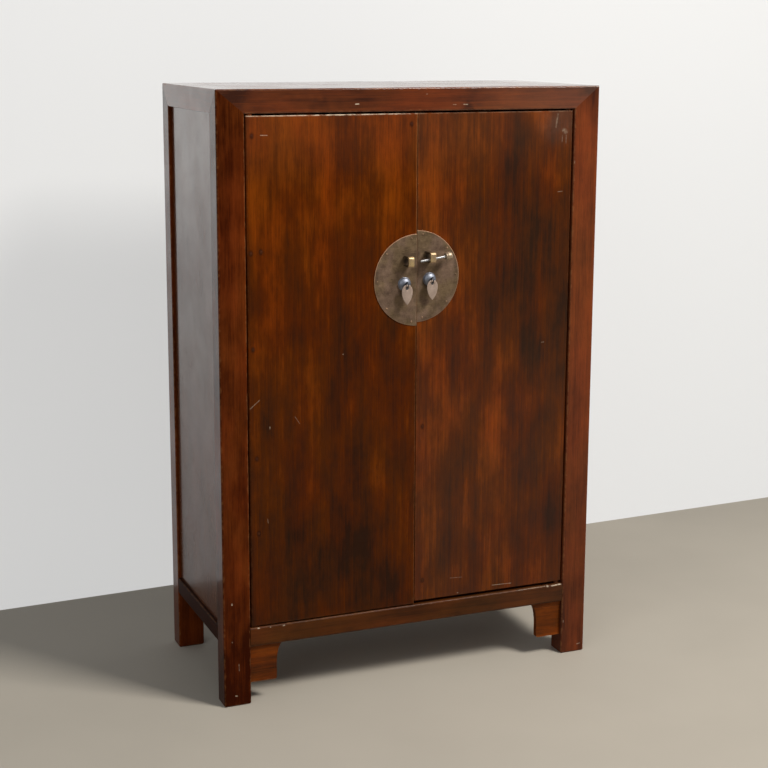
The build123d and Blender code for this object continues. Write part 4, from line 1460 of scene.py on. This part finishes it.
class CABINET_OT_stage(bpy.types.Operator):
    """Set the floor, the backdrop, the lights and the camera."""

    bl_idname = "cabinet.stage"
    bl_label = "Stage"

    camera_place = (-1.1628, -2.8237, 1.2349)
    camera_yaw = math.radians(-22.4956)
    camera_pitch = math.radians(-11.0114)
    camera_roll = math.radians(-0.2486)
    camera_lens = 74.0165
    camera_shift = -0.0573
    camera_sensor = 36.0
    floor_reach = 7.0
    floor_drop = 0.0004
    cloud_scale = 1.3
    wall_place = (0.0, 0.533, 1.6)
    wall_turn = math.radians(2.6)
    wall_half_width = 6.0
    wall_half_height = 1.62
    wall_glow = 0.63
    room_tint = (0.95, 0.97, 1.0)
    room_strength = 0.23
    front_strength = 0.04
    lamp_target = (0.0, 0.0, 0.6)
    lamps = (
        Lamp("key", (1.5, -2.1, 3.2), 1.0, 139.0, (1.0, 0.97, 0.93)),
        Lamp("fill", (-2.6, -2.4, 2.2), 2.2, 22.0, (0.93, 0.96, 1.0)),
    )

    def execute(self, context):
        colours = context.scene.cabinet_colours
        scene = context.scene
        scene.view_settings.view_transform = "Standard"
        self.floor(colours)
        self.wall(colours)
        self.world(scene, colours)
        for lamp in self.lamps:
            self.light(lamp)
        self.camera(scene)
        return {"FINISHED"}

    def floor(self, colours):
        """Plain pale floor with a faint cloudiness."""
        shape = bmesh.new()
        bmesh.ops.create_grid(shape, x_segments=2, y_segments=2, size=self.floor_reach)
        bmesh.ops.translate(shape, verts=shape.verts[:], vec=(0.0, 0.0, -self.floor_drop))
        material, surface, start = new_material("floor_grey")
        cloud = object_place(start).noise(self.cloud_scale, 4.0).rise(0.3, 0.7)
        darker = [part * 0.9 for part in colours.floor_grey]
        sockets = {"Base Color": cloud.mix(darker, colours.floor_grey), "Roughness": 0.75}
        set_sockets(surface, start.tree, sockets)
        self.add_stage("floor", shape, material)

    def wall(self, colours):
        """Plain backdrop that shows from its front only and throws no shade on the cabinet's back."""
        shape = bmesh.new()
        upright = Matrix.Translation(self.wall_place) @ Matrix.Rotation(self.wall_turn, 4, "Z") @ TO_FRONT
        reach = Matrix.Diagonal((self.wall_half_width, self.wall_half_height, 1.0, 1.0))
        bmesh.ops.create_grid(shape, x_segments=1, y_segments=1, size=1.0, matrix=upright @ reach)
        material = bpy.data.materials.new("wall_white")
        material.use_nodes = True
        tree = material.node_tree
        tree.nodes.clear()
        start = Shade(tree)
        seen, glossy, through = ray_kinds(start)
        behind = start.node("ShaderNodeNewGeometry", output="Backfacing")
        shown = seen.greater(glossy).greater(through) * (1 - behind)
        clear = start.node("ShaderNodeBsdfTransparent")
        lit = start.node("ShaderNodeBsdfDiffuse", {}, {"Color": colours.wall_white})
        white = start.node("ShaderNodeEmission", {}, {"Color": colours.wall_white})
        paint = start.node("ShaderNodeMixShader", {}, {0: self.wall_glow, 1: lit, 2: white})
        mixed = start.node("ShaderNodeMixShader", {}, {0: shown, 1: clear, 2: paint})
        start.node("ShaderNodeOutputMaterial", {}, {"Surface": mixed})
        self.add_stage("wall", shape, material)

    @staticmethod
    def add_stage(name, shape, material):
        """Makes a shape a part of the stage."""
        piece = add_object(name, shape, material)

    def world(self, scene, colours):
        """Soft even light, dim in front, with a pale colour where the camera sees past the stage."""
        world = bpy.data.worlds.new("studio")
        scene.world = world
        world.use_nodes = True
        tree = world.node_tree
        tree.nodes.clear()
        start = Shade(tree)
        seen, glossy, through = ray_kinds(start)
        to_front = start.node("ShaderNodeTexCoord", output="Generated").split()[1].rise(-0.2, -0.7)
        shown = seen.greater(through).greater(glossy * (1 - to_front))
        soft, dim, pale = (
            start.node("ShaderNodeBackground", {}, {"Color": tint, "Strength": strength})
            for tint, strength in (
                (self.room_tint, self.room_strength),
                (self.room_tint, self.front_strength),
                (colours.wall_white, 1.0),
            )
        )
        room = start.node("ShaderNodeMixShader", {}, {0: glossy, 1: soft, 2: dim})
        mixed = start.node("ShaderNodeMixShader", {}, {0: shown, 1: room, 2: pale})
        start.node("ShaderNodeOutputWorld", {}, {"Surface": mixed})

    def light(self, lamp):
        """Aims a square soft light at the cabinet."""
        data = bpy.data.lights.new(lamp.name, "AREA")
        data.size = lamp.size
        data.energy = lamp.power
        data.color = lamp.tint
        light = bpy.data.objects.new(lamp.name, data)
        light.location = lamp.place
        aim = Vector(self.lamp_target) - Vector(lamp.place)
        light.rotation_euler = aim.to_track_quat("-Z", "Y").to_euler()
        bpy.context.scene.collection.objects.link(light)

    def camera(self, scene):
        """Camera at the photograph's viewing angle, for a square picture."""
        data = bpy.data.cameras.new("camera")
        data.sensor_width = self.camera_sensor
        data.lens = self.camera_lens
        data.shift_y = self.camera_shift
        camera = bpy.data.objects.new("camera", data)
        turn = (
            Matrix.Rotation(self.camera_yaw, 4, "Z")
            @ Matrix.Rotation(self.camera_pitch, 4, "X")
            @ Matrix.Rotation(self.camera_roll, 4, "Y")
            @ TO_FRONT
        )
        camera.matrix_world = Matrix.Translation(self.camera_place) @ turn
        scene.collection.objects.link(camera)
        scene.camera = camera


class CABINET_PT_sidebar(bpy.types.Panel):
    """Lists the steps that finish the cabinet, with its colours and sizes."""

    bl_idname = "CABINET_PT_sidebar"
    bl_label = "Cabinet"
    bl_space_type = "VIEW_3D"
    bl_region_type = "UI"
    bl_category = "Cabinet"

    def draw(self, context):
        for operator in OPERATORS:
            self.layout.operator(operator.bl_idname)
        for group in (context.scene.cabinet_colours, context.scene.cabinet_sizes):
            for name in group.__annotations__:
                self.layout.prop(group, name)


OPERATORS = (
    CABINET_OT_case_wood,
    CABINET_OT_inner_wood,
    CABINET_OT_doors,
    CABINET_OT_lock_plates,
    CABINET_OT_plate_nails,
    CABINET_OT_staples,
    CABINET_OT_pulls,
    CABINET_OT_lock_pin,
    CABINET_OT_stage,
)
CLASSES = (CabinetColours, CabinetSizes, *OPERATORS, CABINET_PT_sidebar)


def register():
    for item in CLASSES:
        bpy.utils.register_class(item)
    bpy.types.Scene.cabinet_colours = PointerProperty(type=CabinetColours)
    bpy.types.Scene.cabinet_sizes = PointerProperty(type=CabinetSizes)


def unregister():
    del bpy.types.Scene.cabinet_sizes
    del bpy.types.Scene.cabinet_colours
    for item in reversed(CLASSES):
        bpy.utils.unregister_class(item)


def main():
    register()
    for operator in OPERATORS:
        getattr(bpy.ops.cabinet, operator.bl_idname.split(".")[1])()


if __name__ == "__main__":
    main()
